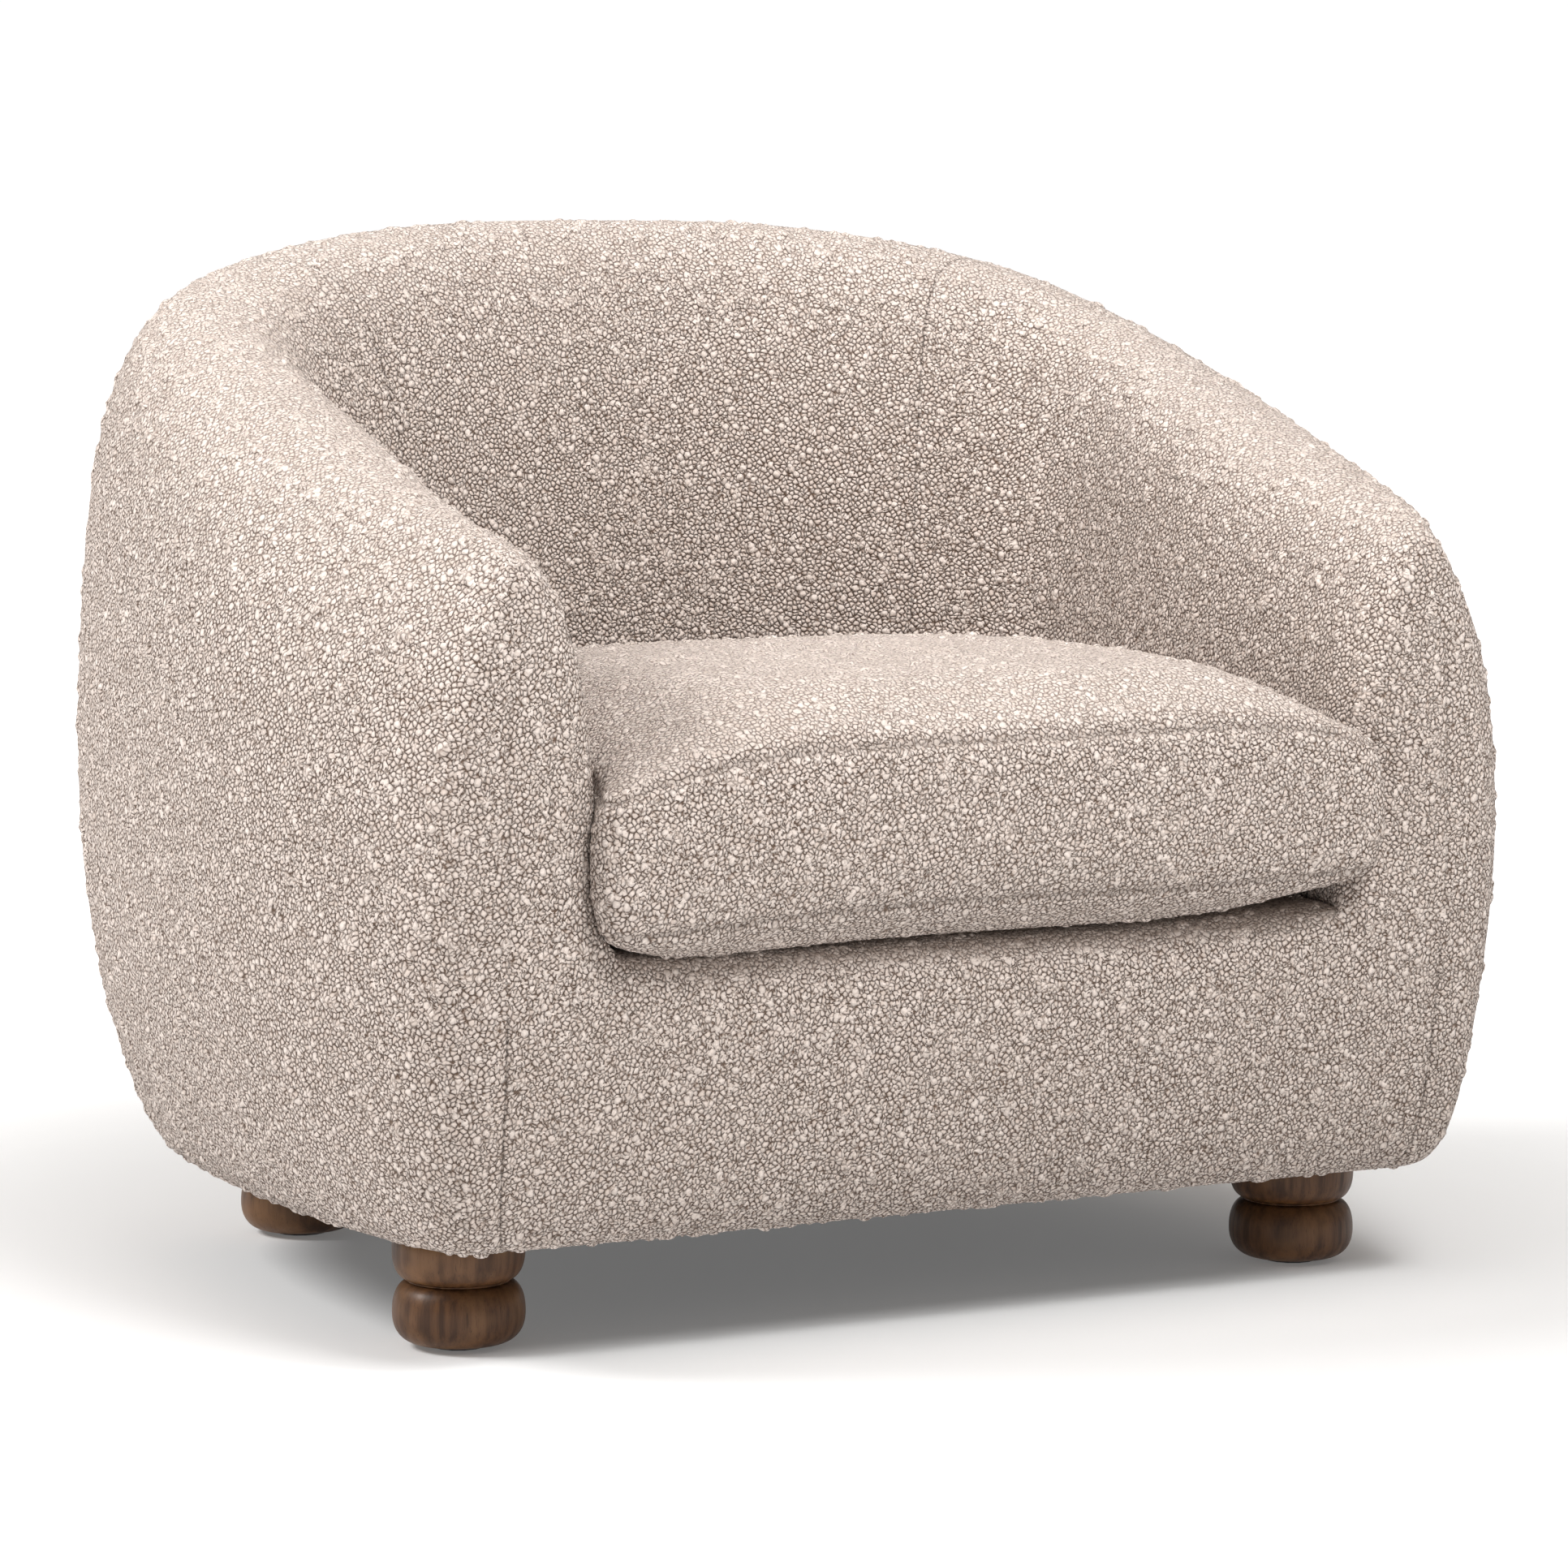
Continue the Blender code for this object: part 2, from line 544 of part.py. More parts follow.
CUSHION_CENTRE_Y = (CUSHION_FRONT + CUSHION_BACK) / 2
CUSHION_HALF_Y = (CUSHION_BACK - CUSHION_FRONT) / 2


def dome(level, rise, depth, inset0):
    """Rings from the seam in to near the centre, with the crown's height."""
    rings = []
    for share in (1.0, 0.94, 0.8, 0.58, 0.3):
        crown = 1 - share ** 2.6
        inset = inset0 + (1 - share) * (CUSHION_HALF_Y - inset0)
        base = ring(inset, 0.0, level + rise * crown)
        seam_lift = ring(inset, 1.0, 0.0)
        rings.append([(x, y, z + lift[2] * depth * share ** 2) for (x, y, z), lift in zip(base, seam_lift)])
    return rings


def skin_of(rings, centre):
    """Faces over nested rings and a centre point."""
    n = len(rings[0])
    verts = [p for r in rings for p in r] + [centre]
    faces = []
    for i in range(len(rings) - 1):
        faces += [(i * n + k, i * n + (k + 1) % n, (i + 1) * n + (k + 1) % n, (i + 1) * n + k) for k in range(n)]
    last = (len(rings) - 1) * n
    faces += [(last + k, last + (k + 1) % n, len(verts) - 1) for k in range(n)]
    return verts, faces, [k for k in range(n)]


def sheet(name, upper, lower, parent):
    """A closed thin panel between two skins with the same layout."""
    (v0, f0, rim0), (v1, f1, _) = upper, lower
    n = len(v0)
    faces = list(f0) + [tuple(n + k for k in reversed(f)) for f in f1]
    faces += [(a, b, n + b, n + a) for a, b in zip(rim0, rim0[1:] + rim0[:1])]
    return add(name, v0 + v1, faces, "cloth", parent, smooth=50)


CLOTH = 0.0025
TOP_RISE = CUSHION_TOP - SEAM_HIGH
LOW_RISE = SEAM_LOW - CUSHION_BOTTOM
sheet("cushion_top", skin_of(dome(SEAM_HIGH, TOP_RISE, 1.0, 0.0), (0, CUSHION_CENTRE_Y, CUSHION_TOP)),
      skin_of(dome(SEAM_HIGH - CLOTH, TOP_RISE, 1.0, 0.0015), (0, CUSHION_CENTRE_Y, CUSHION_TOP - CLOTH)), cushion)
sheet("cushion_bottom", skin_of(dome(SEAM_LOW, -LOW_RISE, 0.0, 0.0), (0, CUSHION_CENTRE_Y, CUSHION_BOTTOM)),
      skin_of(dome(SEAM_LOW + CLOTH, -LOW_RISE, 0.0, 0.0015), (0, CUSHION_CENTRE_Y, CUSHION_BOTTOM + CLOTH)), cushion)

WALL = tuple((share, level) for share, level in ((0.0, 0.0), (0.85, 0.3), (0.85, 0.7), (0.0, 1.0)))


def wall_point(k, depth, share, level):
    """A point of the boxing: outline index, depth below the cloth's face, bulge, height share."""
    low, high = SEAM_LOW + CLOTH + GAP, SEAM_HIGH - CLOTH - GAP
    x, y, z = ring(depth, 0.0, 0.0, 0.012 * share)[k]
    lift = ring(0.0, 1.0, 0.0)[k][2]
    return (x, y, low + (high - low + lift) * level)


def strip(name, indices, parent):
    """A closed thin strip of the boxing over a run of outline points."""
    verts, faces = [], []
    m = len(WALL)
    for k in indices:
        verts += [wall_point(k, 0.0, *w) for w in WALL] + [wall_point(k, CLOTH, *w) for w in reversed(WALL)]
    size = 2 * m
    for i in range(len(indices) - 1):
        for j in range(size):
            a, b = i * size + j, i * size + (j + 1) % size
            faces.append((a, b, b + size, a + size))
    faces += [tuple(range(size)), tuple(range(len(verts) - size, len(verts)))]
    return add(name, verts, faces, "cloth", parent, smooth=50)


N = len(OUTLINE)
rear = [k for k in range(N) if OUTLINE[k][1] > CUSHION_BACK - 1e-6 and abs(OUTLINE[k][0]) < ZIP_HALF]
order = sorted(rear, key=lambda k: OUTLINE[k][0])
rest_run = []
k = order[0]
while True:
    rest_run.append(k)
    if k == order[-1]:
        break
    k = (k + 1) % N


boxing = strip("cushion_boxing", rest_run, cushion)
band = strip("cushion_zip_band", order, cushion)
for ob, run, sign in ((boxing, rest_run, 1), (band, order, -1)):
    size = 2 * len(WALL)
    for end, key in ((0, run[0]), (len(run) - 1, run[-1])):
        toward = math.copysign(GAP, OUTLINE[key][0]) * sign
        for j in range(size):
            ob.data.vertices[end * size + j].co.x += toward

core_rings = []
for depth, level in ((0.0, 0.0), (0.85, 0.3), (0.85, 0.7), (0.0, 1.0)):
    points = []
    for k in range(N):
        x, y, z = wall_point(k, CLOTH + 0.003, depth, level)
        points.append((x, y, z + (0.002 if level == 0.0 else -0.002 if level == 1.0 else 0.0)))
    core_rings.append(points)
low_dome = dome(SEAM_LOW + CLOTH + 0.003, -LOW_RISE, 0.0, 0.012)
high_dome = dome(SEAM_HIGH - CLOTH - 0.003, TOP_RISE, 1.0, 0.012)
chain = list(reversed(low_dome)) + core_rings + high_dome
verts = [p for r in chain for p in r]
faces = []
for i in range(len(chain) - 1):
    faces += [(i * N + k, i * N + (k + 1) % N, (i + 1) * N + (k + 1) % N, (i + 1) * N + k) for k in range(N)]
verts += [(0, CUSHION_CENTRE_Y, CUSHION_BOTTOM + CLOTH + 0.003), (0, CUSHION_CENTRE_Y, CUSHION_TOP - CLOTH - 0.003)]
last = (len(chain) - 1) * N
faces += [((k + 1) % N, k, len(verts) - 2) for k in range(N)]
faces += [(last + k, last + (k + 1) % N, len(verts) - 1) for k in range(N)]
add("cushion_core", verts, faces, "foam", cushion, smooth=50)

SLIDER_Z = (SEAM_LOW + SEAM_HIGH) / 2
slider_frame = bpy.data.objects.new("zip_slider_frame", None)
bpy.context.collection.objects.link(slider_frame)
slider_frame.parent = cushion
box("zip_slider", (-0.155, CUSHION_BACK + 0.0008, SLIDER_Z - 0.004), (-0.143, CUSHION_BACK + 0.0038, SLIDER_Z + 0.004),
    "steel", slider_frame)
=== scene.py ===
"""Looks of the barrel armchair: nubby cloth panels, a loose boxed cushion and turned walnut feet.

Metres, +Z up, the chair faces -Y and the floor is Z = 0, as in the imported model.
"""

import math

import bmesh
import bpy
import numpy as np
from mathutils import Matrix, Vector
from mathutils.kdtree import KDTree


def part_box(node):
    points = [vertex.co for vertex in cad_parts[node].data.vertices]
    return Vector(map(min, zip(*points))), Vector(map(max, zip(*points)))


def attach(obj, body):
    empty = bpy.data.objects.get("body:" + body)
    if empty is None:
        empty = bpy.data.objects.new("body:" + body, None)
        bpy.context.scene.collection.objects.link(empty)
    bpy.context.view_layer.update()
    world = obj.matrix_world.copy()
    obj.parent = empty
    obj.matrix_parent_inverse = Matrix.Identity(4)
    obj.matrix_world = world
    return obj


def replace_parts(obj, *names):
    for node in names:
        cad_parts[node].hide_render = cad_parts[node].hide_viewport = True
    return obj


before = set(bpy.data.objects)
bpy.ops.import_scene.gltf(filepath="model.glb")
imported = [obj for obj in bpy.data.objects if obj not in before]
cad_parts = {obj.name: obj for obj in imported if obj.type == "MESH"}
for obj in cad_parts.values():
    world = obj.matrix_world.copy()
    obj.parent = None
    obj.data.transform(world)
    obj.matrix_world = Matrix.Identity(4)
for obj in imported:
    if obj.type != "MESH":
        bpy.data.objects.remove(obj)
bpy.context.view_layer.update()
scene = bpy.context.scene


def placed(name, data):
    """A new object in the scene, made from its mesh, lamp or camera data."""
    ob = bpy.data.objects.new(name, data)
    scene.collection.objects.link(ob)
    return ob


# ---- camera ---------------------------------------------------------------------------------
AIM = Vector((0.0, 0.03, 0.368))
DISTANCE, AZIMUTH, ELEVATION = 4.357, math.radians(-27.5), math.radians(6.0)
camera = placed("camera", bpy.data.cameras.new("camera"))
toward = Vector((math.sin(AZIMUTH) * math.cos(ELEVATION), -math.cos(AZIMUTH) * math.cos(ELEVATION),
                 math.sin(ELEVATION)))
camera.location = AIM + DISTANCE * toward
camera.rotation_euler = (-toward).to_track_quat("-Z", "Y").to_euler()
camera.data.sensor_width = 36.0
camera.data.lens = 123.5
camera.data.shift_x, camera.data.shift_y = 0.0287, 0.0083
scene.camera = camera
scene.view_settings.view_transform = "Standard"


# ---- materials ------------------------------------------------------------------------------
def blank(name, roughness=0.5, metallic=0.0):
    mat = bpy.data.materials.new(name)
    mat.use_nodes = True
    shader = mat.node_tree.nodes["Principled BSDF"]
    shader.inputs["Roughness"].default_value = roughness
    shader.inputs["Metallic"].default_value = metallic
    return mat, mat.node_tree, shader


def node(tree, kind, settings=None, **inputs):
    """A node with its settings, and its inputs set to values or linked to sockets."""
    made = tree.nodes.new("ShaderNode" + kind)
    for key, value in (settings or {}).items():
        setattr(made, key, value)
    for key, value in inputs.items():
        socket = made.inputs[int(key[1:])] if key[1:].isdigit() else made.inputs[key.replace("_", " ")]
        if isinstance(value, bpy.types.NodeSocket):
            tree.links.new(value, socket)
        else:
            socket.default_value = value
    return made


def calc(tree, operation, *values, clamp=False):
    made = node(tree, "Math", {"operation": operation, "use_clamp": clamp},
                **{f"i{k}": v for k, v in enumerate(values)})
    return made.outputs[0]


def times(tree, a, b):
    return calc(tree, "MULTIPLY", a, b)


def noise(tree, where, scale, detail, rough=0.5, output=0):
    """The value of a noise, or its colour."""
    made = node(tree, "TexNoise", None, Vector=where, Scale=scale, Detail=detail, Roughness=rough)
    return made.outputs[output]


def remap(tree, value, low, high, to_low=0.0, to_high=1.0):
    made = node(tree, "MapRange", {"interpolation_type": "SMOOTHSTEP"}, Value=value, From_Min=low,
                From_Max=high, To_Min=to_low, To_Max=to_high)
    return made.outputs[0]


def mix(tree, factor, a, b, blend="MIX"):
    made = node(tree, "Mix", {"data_type": "RGBA", "blend_type": blend}, i0=factor, i6=a, i7=b)
    return made.outputs[2]


LOOPS = 262.0                # loops per metre of cloth
SCATTER = 0.85               # 1 is a random scatter of loops, 0 a square grid
BALLS, BALL_SHARE = 150.0, 0.20      # cells per metre of the balls, and the share of cells that hold one
BALL_REACH = 0.46            # radius of a ball, in cells
CLOTH_RELIEF = 0.0029        # height of a loop in the bump
GRAIN_STRETCH = (1.0, 1.0, 0.06)     # the grain of the wood runs upright
UPWARD_RELIEF_AND_SHADE = 0.60         # share of the loops' depth, and of their painted shade, that shows where the cloth faces up, as if light from above filled the gaps
TURN_STEP = math.pi / 8      # between the directions from which the cloth is seen square on


def colour(r, g, b):
    return (r, g, b, 1.0)


def paint(tree, shader, tint, height, strength, depth):
    """Give a shader its colour, and a bump of some depth from a height."""
    tree.links.new(tint, shader.inputs["Base Color"])
    bump = node(tree, "Bump", None, Strength=strength, Distance=depth, Height=height)
    tree.links.new(bump.outputs[0], shader.inputs["Normal"])


def balls(tree, where, scale, above):
    """Little balls in some cells of a cell pattern: the masks of their inside, their dome and the ring round
    their rim, where painted shade goes.
    """
    cell = node(tree, "TexVoronoi", {"feature": "F1", "voronoi_dimensions": "2D"}, Vector=where, Scale=scale)
    pick = node(tree, "SeparateColor", None, Color=cell.outputs["Color"]).outputs[0]
    chosen = remap(tree, pick, above, above + 0.02)
    far = cell.outputs["Distance"]
    squared = times(tree, far, far)
    round_top = calc(tree, "MULTIPLY_ADD", squared, -1 / BALL_REACH ** 2, 1.0, clamp=True)
    dome = times(tree, chosen, calc(tree, "POWER", round_top, 0.5))
    inside = times(tree, chosen, remap(tree, far, BALL_REACH, BALL_REACH * 0.78))
    rim = times(tree, chosen, remap(tree, far, BALL_REACH * 1.35, BALL_REACH))
    return inside, dome, calc(tree, "SUBTRACT", rim, inside, clamp=True)


def cloth_plane(tree, place):
    """Flat coordinates along the cloth: the place seen square on from the nearest of a set of directions.

    The loops keep one size round every bend, and the change between two directions wanders with a noise.
    """
    facing = node(tree, "Attribute", {"attribute_name": "facing"}).outputs["Vector"]
    nx, ny, nz = node(tree, "SeparateXYZ", None, Vector=facing).outputs
    x, y, z = node(tree, "SeparateXYZ", None, Vector=place).outputs
    wander = noise(tree, place, 150.0, 1.0)
    wander = calc(tree, "MULTIPLY_ADD", wander, 0.8, -0.4)
    level = calc(tree, "SQRT", calc(tree, "MULTIPLY_ADD", nx, nx, times(tree, ny, ny)))
    tilt = calc(tree, "SNAP", calc(tree, "ADD", calc(tree, "ARCTAN2", nz, level), wander), TURN_STEP)
    turn = calc(tree, "SNAP", calc(tree, "ADD", calc(tree, "ARCTAN2", ny, nx), wander), TURN_STEP)
    turn = times(tree, turn, calc(tree, "LESS_THAN", calc(tree, "ABSOLUTE", tilt), 1.3))
    cos_turn, sin_turn = calc(tree, "COSINE", turn), calc(tree, "SINE", turn)
    across = calc(tree, "SUBTRACT", times(tree, y, cos_turn), times(tree, x, sin_turn))
    ahead = calc(tree, "MULTIPLY_ADD", x, cos_turn, times(tree, y, sin_turn))
    up = calc(tree, "SUBTRACT", times(tree, z, calc(tree, "COSINE", tilt)),
              times(tree, ahead, calc(tree, "SINE", tilt)))
    u = calc(tree, "MULTIPLY_ADD", across, 0.82, times(tree, up, 0.57))
    v = calc(tree, "MULTIPLY_ADD", up, 0.82, times(tree, across, -0.57))
    return node(tree, "CombineXYZ", None, X=u, Y=v).outputs[0]


def boucle():
    """Looped wool cloth: small round loops and scattered larger balls, with painted shade in dots between the
    loops, on their sides, in a ring round each ball and along the seams.
    """
    mat, tree, shader = blank("boucle_cloth", 0.96)
    coordinates = node(tree, "TexCoord").outputs
    place = coordinates["Object"]
    upward = node(tree, "SeparateXYZ", None, Vector=coordinates["Normal"]).outputs[2]
    # where the cloth faces up there is less bump and less painted shade in the gaps, as if light from above
    # filled them
    relief_and_shade_facing_up = remap(tree, upward, 0.15, 0.85, 1.0, UPWARD_RELIEF_AND_SHADE)
    drift = noise(tree, place, 130.0, 2.0, output="Color")
    shift = node(tree, "VectorMath", {"operation": "SCALE"}, i0=drift, Scale=0.0036).outputs[0]
    where = node(tree, "VectorMath", {"operation": "ADD"}, i0=cloth_plane(tree, place), i1=shift).outputs[0]
    loop, second = (node(tree, "TexVoronoi", {"feature": feature, "voronoi_dimensions": "2D"}, Vector=where,
                         Scale=LOOPS, Randomness=SCATTER) for feature in ("F1", "F2"))
    near = loop.outputs["Distance"]
    side = calc(tree, "DIVIDE", near, second.outputs["Distance"])
    fibre = noise(tree, place, 1100.0, 3.0, 0.65)
    broad = noise(tree, place, 9.0, 3.0)
    dots = noise(tree, place, 430.0, 1.0)
    nub = node(tree, "Attribute", {"attribute_name": "nub"}).outputs["Fac"]
    seam = node(tree, "Attribute", {"attribute_name": "seam"}).outputs["Fac"]

    inside, ball, rim = balls(tree, where, BALLS, 1 - BALL_SHARE)
    covered = calc(tree, "MAXIMUM", inside, remap(tree, nub, 0.35, 0.80, 0.0, 0.45))
    bare = calc(tree, "SUBTRACT", 1.0, covered)
    loops = calc(tree, "SUBTRACT", 1.0, calc(tree, "POWER", side, 1.9))
    height = calc(tree, "MULTIPLY_ADD", times(tree, loops, bare), 0.85, times(tree, ball, 1.25))
    height = calc(tree, "MULTIPLY_ADD", covered, 0.35, height)
    height = times(tree, calc(tree, "MULTIPLY_ADD", fibre, 0.18, height), relief_and_shade_facing_up)

    tone = node(tree, "SeparateColor", None, Color=loop.outputs["Color"]).outputs[1]
    # painted shade: dark dots where the loops meet, a dark ring round each ball and darker sides on every
    # loop stand in for the shade in the hollows of the cloth
    painted_dot_shade = times(tree, remap(tree, side, 0.50, 0.88), remap(tree, near, 0.26, 0.52, 0.45, 1.0))
    painted_dot_shade = times(tree, painted_dot_shade, remap(tree, dots, 0.36, 0.54, 0.35, 1.0))
    painted_gap_shade = times(tree, calc(tree, "MAXIMUM", painted_dot_shade, times(tree, rim, 0.80)), bare)
    painted_gap_shade = times(tree, painted_gap_shade, relief_and_shade_facing_up)
    shade = times(tree, times(tree, calc(tree, "POWER", side, 3.0), bare), relief_and_shade_facing_up)
    yarn_and_painted_shade = mix(tree, tone, colour(0.660, 0.556, 0.494), colour(0.790, 0.692, 0.634))
    yarn_and_painted_shade = mix(tree, times(tree, covered, 0.45), yarn_and_painted_shade, colour(0.820, 0.728, 0.668))
    yarn_and_painted_shade = mix(tree, times(tree, shade, 0.52), yarn_and_painted_shade, colour(0.330, 0.228, 0.170))
    yarn_and_painted_shade = mix(tree, times(tree, painted_gap_shade, 0.97), yarn_and_painted_shade, colour(0.105, 0.058, 0.034))
    yarn_and_painted_shade = mix(tree, remap(tree, fibre, 0.35, 0.75, 0.0, 0.12), yarn_and_painted_shade, colour(0.42, 0.33, 0.27))
    yarn_and_painted_shade = mix(tree, remap(tree, broad, 0.35, 0.70, 0.0, 0.08), yarn_and_painted_shade, colour(0.50, 0.41, 0.35))
    # painted shade along the seams and the piping, from the seam attribute
    yarn_and_painted_shade = mix(tree, times(tree, seam, 0.50), yarn_and_painted_shade, colour(0.19, 0.145, 0.118))
    paint(tree, shader, yarn_and_painted_shade, height, 1.0, CLOTH_RELIEF)
    shader.inputs["Sheen Weight"].default_value = 0.15
    shader.inputs["Sheen Roughness"].default_value = 0.55
    shader.inputs["Specular IOR Level"].default_value = 0.08
    return mat


def wood(name, dark, mid, light, ring_scale, roughness, gloss):
    """Timber with rings, pores and a cloudy darker and lighter tone."""
    mat, tree, shader = blank(name, roughness)
    place = node(tree, "TexCoord").outputs["Object"]
    long = node(tree, "VectorMath", {"operation": "MULTIPLY"}, i0=place, i1=GRAIN_STRETCH).outputs[0]
    sway = noise(tree, long, ring_scale * 0.22, 2.0, output="Color")
    sway = node(tree, "VectorMath", {"operation": "SCALE"}, i0=sway, Scale=1.6 / ring_scale).outputs[0]
    path = node(tree, "VectorMath", {"operation": "ADD"}, i0=long, i1=sway).outputs[0]
    rings = noise(tree, path, ring_scale, 5.0, 0.62)
    pores = noise(tree, path, ring_scale * 9.0, 2.0)
    cloud = noise(tree, place, 26.0, 2.0)
    tint = mix(tree, remap(tree, rings, 0.34, 0.66), colour(*dark), colour(*mid))
    tint = mix(tree, remap(tree, cloud, 0.42, 0.74, 0.0, 0.75), tint, colour(*light))
    tint = mix(tree, remap(tree, pores, 0.60, 0.72, 0.0, 0.55), tint, colour(*(c * 0.5 for c in dark)))
    grain = calc(tree, "MULTIPLY_ADD", rings, 0.5, times(tree, pores, -0.6))
    paint(tree, shader, tint, grain, 0.5, 0.0004)
    dull = remap(tree, rings, 0.3, 0.7, roughness + 0.08, roughness - 0.06)
    tree.links.new(dull, shader.inputs["Roughness"])
    shader.inputs["Specular IOR Level"].default_value = 0.35
    shader.inputs["Coat Weight"].default_value = gloss
    shader.inputs["Coat Roughness"].default_value = 0.28
    return mat


def speckled(name, dark, light, scale, roughness, metallic=0.0, depth=0.0002):
    """A plain made surface: two close tones in a fine noise, with a little relief."""
    mat, tree, shader = blank(name, roughness, metallic)
    place = node(tree, "TexCoord").outputs["Object"]
    grain = noise(tree, place, scale, 4.0)
    tint = mix(tree, remap(tree, grain, 0.35, 0.65), colour(*dark), colour(*light))
    paint(tree, shader, tint, grain, 0.6, depth)
    return mat


def woven(name, dark, light, pitch):
    """Thin plain-woven lining."""
    mat, tree, shader = blank(name, 0.9)
    place = node(tree, "TexCoord").outputs["Object"]
    turns = 2 * math.pi / pitch
    axes = node(tree, "SeparateXYZ", None, Vector=place).outputs
    over = calc(tree, "SINE", times(tree, axes[0], turns))
    under = calc(tree, "SINE", times(tree, axes[1], turns))
    weave = times(tree, over, under)
    cloudy = noise(tree, place, 60.0, 4.0)
    share = remap(tree, calc(tree, "MULTIPLY_ADD", weave, 0.25, cloudy), 0.2, 0.8)
    paint(tree, shader, mix(tree, share, colour(*dark), colour(*light)), weave, 0.5, 0.0003)
    shader.inputs["Sheen Weight"].default_value = 0.1
    return mat


CLOTH = boucle()
WALNUT = wood("walnut_satin", (0.050, 0.020, 0.007), (0.128, 0.056, 0.021), (0.205, 0.100, 0.040),
              120.0, 0.46, 0.06)
PINE = wood("pine_frame", (0.43, 0.29, 0.16), (0.60, 0.44, 0.27), (0.68, 0.53, 0.35), 70.0, 0.70, 0.0)
FOAM_LOOK = speckled("seat_foam", (0.66, 0.60, 0.44), (0.80, 0.75, 0.60), 420.0, 0.95, depth=0.0006)
LINING = woven("lining_black", (0.018, 0.018, 0.019), (0.050, 0.049, 0.048), 0.0016)
DECKING = woven("lining_taupe", (0.235, 0.190, 0.158), (0.330, 0.275, 0.232), 0.0016)
STEEL = speckled("spring_steel", (0.30, 0.30, 0.31), (0.52, 0.52, 0.54), 260.0, 0.34, 1.0, 0.00005)
PLASTIC = speckled("glide_plastic", (0.020, 0.020, 0.021), (0.036, 0.036, 0.037), 900.0, 0.46)
TAPE = woven("zip_tape", (0.36, 0.30, 0.26), (0.50, 0.43, 0.37), 0.0012)

LOOKS = ((PINE, ("corner_block", "rail", "seat_rail", "arm_post", "arm_rail", "back_post", "crest_rail")),
         (STEEL, ("spring", "bolt", "zip_slider")), (PLASTIC, ("glide",)))
for name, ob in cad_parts.items():
    for look, starts in LOOKS:
        if name.startswith(starts):
            ob.data.materials.clear()
            ob.data.materials.append(look)


# ---- mesh helpers ---------------------------------------------------------------------------
def riding(name, mesh, look, body):
    """A mesh as a piece of one look, riding on a body."""
    mesh.materials.append(look)
    ob = placed(name, mesh)
    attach(ob, body)
    return ob


def mesh_object(name, verts, faces, look, body, attributes=None):
    """A smooth-shaded piece from arrays of points and quads, riding on a body."""
    verts, faces = np.asarray(verts, float), np.asarray(faces)
    mesh = bpy.data.meshes.new(name)
    size = faces.shape[1]
    mesh.vertices.add(len(verts))
    mesh.vertices.foreach_set("co", verts.ravel())
    mesh.loops.add(faces.size)
    mesh.loops.foreach_set("vertex_index", faces.ravel())
    mesh.polygons.add(len(faces))
    mesh.polygons.foreach_set("loop_start", np.arange(len(faces)) * size)
    mesh.update(calc_edges=True)
    mesh.validate()
    for key, values in (attributes or {}).items():
        values = np.asarray(values, np.float32)
        if values.ndim == 2:
            mesh.attributes.new(key, "FLOAT_VECTOR", "POINT").data.foreach_set("vector", values.ravel())
        else:
            mesh.attributes.new(key, "FLOAT", "POINT").data.foreach_set("value", values)
    mesh.shade_smooth()
    return riding(name, mesh, look, body)


def evaluated(ob):
    """An object's mesh with its modifiers applied, and its vertices and quads as arrays."""
    done = ob.evaluated_get(bpy.context.evaluated_depsgraph_get()).to_mesh()
    verts = np.zeros(len(done.vertices) * 3)
    done.vertices.foreach_get("co", verts)
    quads = np.zeros(len(done.polygons) * 4, np.int64)
    done.loops.foreach_get("vertex_index", quads)
    return done, verts.reshape(-1, 3), quads.reshape(-1, 4)


def normals_of(verts, faces):
    """Area-weighted vertex normals."""
    a, b, c, d = (verts[faces[:, k]] for k in range(4))
    face = np.cross(c - a, d - b)
    out = np.zeros_like(verts)
    for k in range(4):
        np.add.at(out, faces[:, k], face)
    return out / np.maximum(np.linalg.norm(out, axis=1), 1e-12)[:, None]


def edges_of(quads):
    """The four edges of every quad, each along the quad's winding."""
    return np.vstack([quads[:, [k, (k + 1) % 4]] for k in range(4)])


def tree_of(points):
    """Search tree over some points."""
    tree = KDTree(len(points))
    for k, p in enumerate(points):
        tree.insert(p, k)
    tree.balance()
    return tree


def slubs(verts, faces, rng, per_m2, height, radius):
    """Relief of scattered slubs, each an oval dome: height in metres and a 0 to 1 mask, at every vertex."""
    a, b, c, d = (verts[faces[:, k]] for k in range(4))
    area = 0.5 * np.linalg.norm(np.cross(c - a, d - b), axis=1)
    count = int(area.sum() * per_m2)
    chosen = rng.choice(len(faces), count, p=area / area.sum())
    u, v = rng.random((2, count))[:, :, None]
    a, b, c, d = (corner[chosen] for corner in (a, b, c, d))
    seeds = (a * (1 - u) + b * u) * (1 - v) + (d * (1 - u) + c * u) * v
    sizes = radius[0] + (radius[1] - radius[0]) * rng.random(count) ** 1.6
    lifts = (height[0] + (height[1] - height[0]) * rng.random(count)) * sizes / radius[1]
    axes = rng.normal(size=(count, 3))
    axes /= np.linalg.norm(axes, axis=1)[:, None]
    slim = 0.62 + 0.38 * rng.random(count)
    tree = tree_of(verts)
    relief, mask = np.zeros(len(verts)), np.zeros(len(verts))
    for k in range(count):
        found = [i for _, i, _ in tree.find_range(seeds[k], sizes[k])]
        if not found:
            continue
        offset = verts[found] - seeds[k]
        along = offset @ axes[k]
        across = np.maximum((offset ** 2).sum(axis=1) - along ** 2, 0.0)
        far = (along ** 2 + across / slim[k] ** 2) / sizes[k] ** 2
        dome = np.sqrt(np.clip(1 - far, 0, 1))
        relief[found] = np.maximum(relief[found], lifts[k] * dome)
        mask[found] = np.maximum(mask[found], dome)
    return relief, mask


